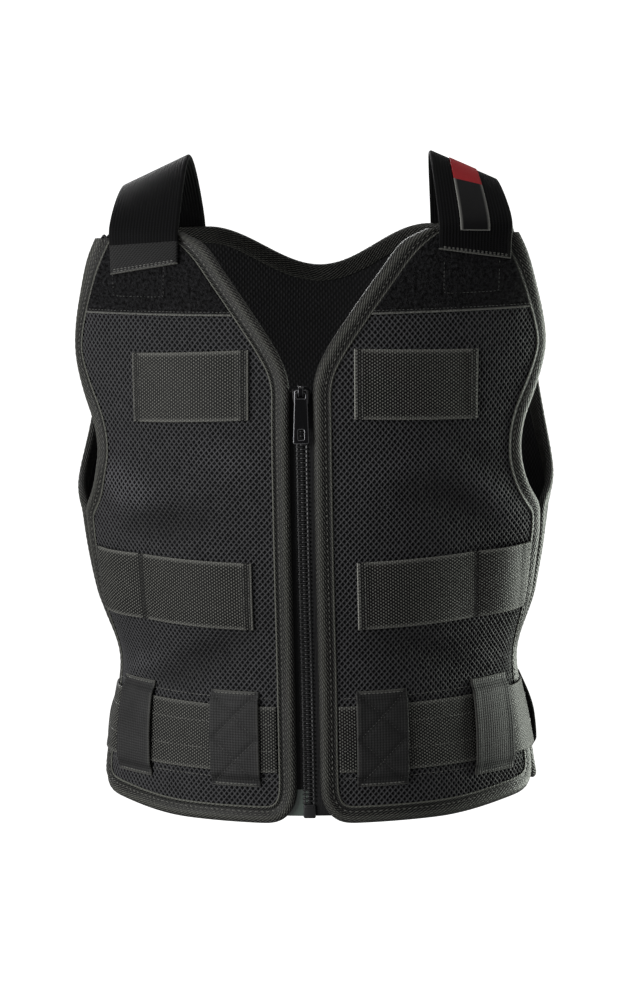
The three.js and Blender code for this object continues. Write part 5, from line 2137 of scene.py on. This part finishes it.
    def build_teeth(self, side: Side) -> None:
        """One row of teeth, half a pitch from the other's, on the cord along the tape's edge.

        A tooth is its outline in layers, each scaled about the outline's middle.

        Args:
            side: The wearer's side.
        """
        place = partial(self.form.toward, side)
        outline = np.array(self.tooth)
        offset = self.tooth_pitch / 2 if side is Side.LEFT else 0.0
        first, last = self.chain_bottom + self.tooth_margins[0], self.chain_top - self.tooth_margins[1]
        heights = np.arange(first + offset, last, self.tooth_pitch)
        lift, scale = np.array(self.tooth_layers).T
        middle = outline.mean(axis=0)
        layers = middle + (outline - middle) * scale[:, None, None]
        z = heights[:, None, None] + layers[None, ..., 1]
        points = place(np.broadcast_to(layers[None, ..., 0], z.shape), z, lift[None, :, None])
        index = np.arange(z.size).reshape(z.shape)
        surface = Surface()
        surface.add(points.reshape(-1, 3), [stacks(index), index[:, 0, ::-1], index[:, -1]])
        turn = np.arange(self.cord_sides) * 2 * math.pi / self.cord_sides
        girth, lift, radius = self.cord
        up = np.linspace(self.chain_bottom, self.chain_top, self.cord_rows)[:, None]
        cord = place(girth + radius * np.cos(turn), up, lift + radius * np.sin(turn))
        index, walls = tube(*cord.shape[:2])
        surface.add(cord.reshape(-1, 3), [walls, np.stack([index[0, ::-1], index[-1]])])
        name, node = f"zip_chain_{side.label}", f"zip_teeth_{side.label}"
        dress(surface, name, [ACETAL], "zip_plastic", node, sharp=self.hard_edge)

    def build_stop(self) -> None:
        """The box at the foot of the chain, with a rib across it."""
        half, (low, high), (under, over) = self.stop_width / 2, self.stop_z, self.stop_lift
        surface = Surface()
        radius, bevel = self.stop_round
        box = rounded_box((-half, low), (half, high), radius)
        plate(surface, [box], (under, over), bevel, self.form.front)
        radius, bevel = self.rib_round
        reach, (bottom, top) = half - self.rib_inset, (high + z for z in self.rib_z)
        rib = rounded_box((-reach, bottom), (reach, top), radius)
        lifts = over + self.rib_lift[0], over + self.rib_lift[1]
        plate(surface, [rib], lifts, bevel, self.form.front)
        dress(surface, "zip_box", [ACETAL], "zip_plastic", "zip_bottom_stop", sharp=self.hard_edge)

    def on_slider(self, x: Array, z: Array, lift: Array) -> Array:
        """Points in the slider's frame, which leans with the chain.

        Args:
            x: Distance across the chain.
            z: Distance up it.
            lift: Distance off it.

        Returns:
            The points.
        """
        half = self.slider_length / 2
        ends = self.form.front(np.zeros(2), self.slider_z + np.array([-half, half]), 0.0)
        lean = -math.atan2(ends[1, 1] - ends[0, 1], self.slider_length)
        x, z, lift = np.broadcast_arrays(*(np.asarray(v, float) for v in (x, z, lift)))
        y = -lift * math.cos(lean) - z * math.sin(lean)
        up = -lift * math.sin(lean) + z * math.cos(lean)
        return np.stack([x, y, up], axis=-1) + self.form.front(0.0, self.slider_z, 0.0)

    def on_lug(self, x: Array, z: Array, lift: Array) -> Array:
        """Points in the pull's frame at rest: the slider's, with the lug's middle at its origin."""
        return self.on_slider(x, z + self.lug_z, lift + self.lug_lift)

    def build_slider(self) -> None:
        """The slider: two wings, a post between them, raised rims and the lug that holds the pull."""
        surface = Surface()
        outline = resample(np.array((*self.wing, self.wing[0])), self.wing_step)
        outline = eased_loop(outline[:-1], self.wing_ease)
        for lifts in self.wing_lifts:
            plate(surface, [outline], lifts, self.wing_bevel, self.on_slider)
        plate(surface, [rounded_box(*self.post)], self.post_lifts, self.post_bevel, self.on_slider)
        (low, high), (radius, bevel) = self.rail_ends, self.rail_round
        for x in self.rails:
            rail = rounded_box((x - self.rail_half, low), (x + self.rail_half, high), radius)
            # The rails' edges take the paler edge finish, a painted highlight.
            plate(surface, [rail], self.rail_lifts, bevel, self.on_slider, 1)
        half, (inner, outer) = self.lug_width / 2, self.lug_radii
        x, radius = rounded_box((-half, inner), (half, outer), self.lug_round).T
        turn = np.linspace(0, 2 * math.pi, self.lug_sides + 1)[:-1, None]
        points = self.on_lug(x, radius * np.cos(turn), radius * np.sin(turn))
        index = tube(*points.shape[:2])[0]
        closed = np.concatenate([index, index[:, :1]], axis=1)
        # Faces round the lug's rims take the paler edge finish, a painted highlight.
        edge = np.abs(x) > half - self.lug_rim
        wear_and_highlight = np.tile(edge & np.roll(edge, -1), len(turn)).astype(int)
        faces = grid_faces(np.concatenate([closed, closed[:1]]))
        surface.add(points.reshape(-1, 3), [faces], finishes=[wear_and_highlight])
        finishes = [LACQUER, EDGE_HIGHLIGHT]
        dress(surface, "zip_slider_body", finishes, "zip_metal", "zip_slider", sharp=self.hard_edge)

    def build_pull(self) -> None:
        """The pull: a tab that widens downwards, with an eye at the lug and a slot near its end."""
        top, bottom = self.pull_top, -self.pull_length
        half_top, half_bottom = (width / 2 for width in self.pull_width)
        radius, bevel = self.pull_round
        outline = rounded_box((-half_bottom, bottom), (half_bottom, top), radius)
        share = smooth((outline[:, 1] - top) / (self.pull_flare - top))
        outline[:, 0] *= mix(half_top / half_bottom, 1.0, share)
        holes = [rounded_box(*hole)[::-1] for hole in (self.eye, self.slot)]
        half = self.pull_thickness / 2
        surface = Surface()
        # The pull's edges take the paler edge finish, a painted highlight.
        plate(surface, [outline, *holes], (-half, half), bevel, self.on_lug, 1)
        finishes = [LACQUER, EDGE_HIGHLIGHT]
        dress(surface, "zip_pull_tab", finishes, "zip_metal", "zip_pull", body=PULL, sharp=self.hard_edge)


@dataclass(frozen=True)
class Studio:
    """A pale round floor that closes to a dome, soft light and the camera."""

    azimuth: float = 4.5
    elevation: float = 8.0
    roll: float = 1.1
    distance: float = 2.6
    target: tuple = (0.0, 0.0, -0.262)
    scale: float = 0.0008
    frame_height: int = 1000
    sensor: float = 36.0
    floor_z: float = -1.6
    # Radii of the floor's flat rings, radius where it bends and of the bend, radius and height of the dome.
    flat: tuple = (0.02, 0.5, 1.0, 2.0, 3.0, 6.0)
    bend: tuple = (8.0, 2.0)
    dome: tuple = ((10.0, 9.0), (6.0, 12.0), (0.02, 13.0))
    bend_rings: int = 12
    floor_sides: int = 64
    # Place, size, power and colour of each soft box, in metres and watts.
    boxes: tuple = (
        ((-2.3, -1.85, 0.3), 2.4, 195.0, "#ffffff"),
        ((-0.9, 2.2, 0.9), 1.2, 62.0, "#ffffff"),
        ((1.9, 1.15, -0.5), 1.2, 125.0, "#f8fff4"),
        ((0.0, 0.4, 2.2), 1.6, 18.0, "#ffffff"),
    )
    sky: float = 0.4

    def camera(self) -> None:
        """The camera at the photograph's angle, its picture turned a little anticlockwise."""
        a, e, r = (math.radians(v) for v in (self.azimuth, self.elevation, self.roll))
        back = Vector((math.sin(a) * math.cos(e), -math.cos(a) * math.cos(e), math.sin(e)))
        right = Vector((math.cos(a), math.sin(a), 0.0))
        up = back.cross(right)
        right, up = right * math.cos(r) - up * math.sin(r), up * math.cos(r) + right * math.sin(r)
        data = bpy.data.cameras.new("camera")
        data.sensor_width = self.sensor
        data.lens = data.sensor_width * self.distance / self.scale / self.frame_height
        made = bpy.data.objects.new("camera", data)
        bpy.context.scene.collection.objects.link(made)
        eye = Vector(self.target) + back * self.distance
        turn = Matrix((right, up, back)).transposed().to_4x4()
        made.matrix_world = Matrix.Translation(eye) @ turn
        bpy.context.scene.camera = made

    def lights(self) -> None:
        """Soft boxes aimed at the vest, and an even sky."""
        for number, (place, size, power, colour) in enumerate(self.boxes):
            data = bpy.data.lights.new(f"soft_box_{number}", "AREA")
            data.size, data.energy, data.color = size, power, linear(colour)[:3]
            made = bpy.data.objects.new(data.name, data)
            bpy.context.scene.collection.objects.link(made)
            made.location = place
            aim = Vector(self.target) - Vector(place)
            made.rotation_euler = aim.to_track_quat("-Z", "Y").to_euler()
        world = bpy.data.worlds.new("studio")
        world.use_nodes = True
        sky = world.node_tree.nodes["Background"].inputs
        sky["Strength"].default_value = self.sky
        sky["Color"].default_value = (1, 1, 1, 1)
        bpy.context.scene.world = world

    def floor(self) -> None:
        """A floor whose far rim curves up to a dome: a profile turned about the vertical.

        The camera sees it, but it lights nothing.
        """
        bend = np.linspace(0, math.pi / 2, self.bend_rings)
        (start, size), dome = self.bend, np.array(self.dome)
        radius = np.concatenate([self.flat, start + size * np.sin(bend), dome[:, 0]])
        height = np.concatenate([np.zeros(len(self.flat)), size * (1 - np.cos(bend)), dome[:, 1]])
        turn = np.linspace(0, 2 * math.pi, self.floor_sides + 1)[:-1]
        x, y = radius[:, None] * np.cos(turn), radius[:, None] * np.sin(turn)
        z = np.broadcast_to(height[:, None] + self.floor_z, x.shape)
        index, walls = tube(*x.shape)
        surface = Surface()
        surface.add(np.stack([x, y, z], axis=-1).reshape(-1, 3) / MM, [walls, index[:1, ::-1]])
        paper = surface.build("pale_floor", [PAPER])
        paper.visible_diffuse = paper.visible_glossy = False

    def build(self) -> None:
        """Camera, lights and floor."""
        self.camera()
        self.lights()
        self.floor()
        bpy.context.scene.view_settings.view_transform = "Standard"


def main() -> None:
    """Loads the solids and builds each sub-assembly in order."""
    logging.basicConfig(level=logging.INFO, format="%(message)s")
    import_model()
    Studio().build()
    form = WornForm()
    panels, belt = Panels(form), WaistBelt(form)
    chest = ToolWebbing(
        form, "chest", start=40, end=138, top=-131, height=53, drop=4, seams=(40, 138), bows=(2.2,)
    )
    waist = ToolWebbing(
        form, "side", start=40, end=191, top=-294, height=53, drop=-4, seams=(40, 137, 191), bows=(2.2, 4.2)
    )
    for side in Side:
        panels.build_front(side)
        LoopPatch(form).build(side)
        ShoulderStrap(form).build(side)
        chest.build(side)
        waist.build(side)
    panels.build_back()
    belt.build_belt()
    for label, girth, stand_off in belt.keepers:
        for side in Side:
            belt.build_keeper(label, girth, stand_off, side)
    FrontZip(form).build()


if __name__ == "__main__":
    main()
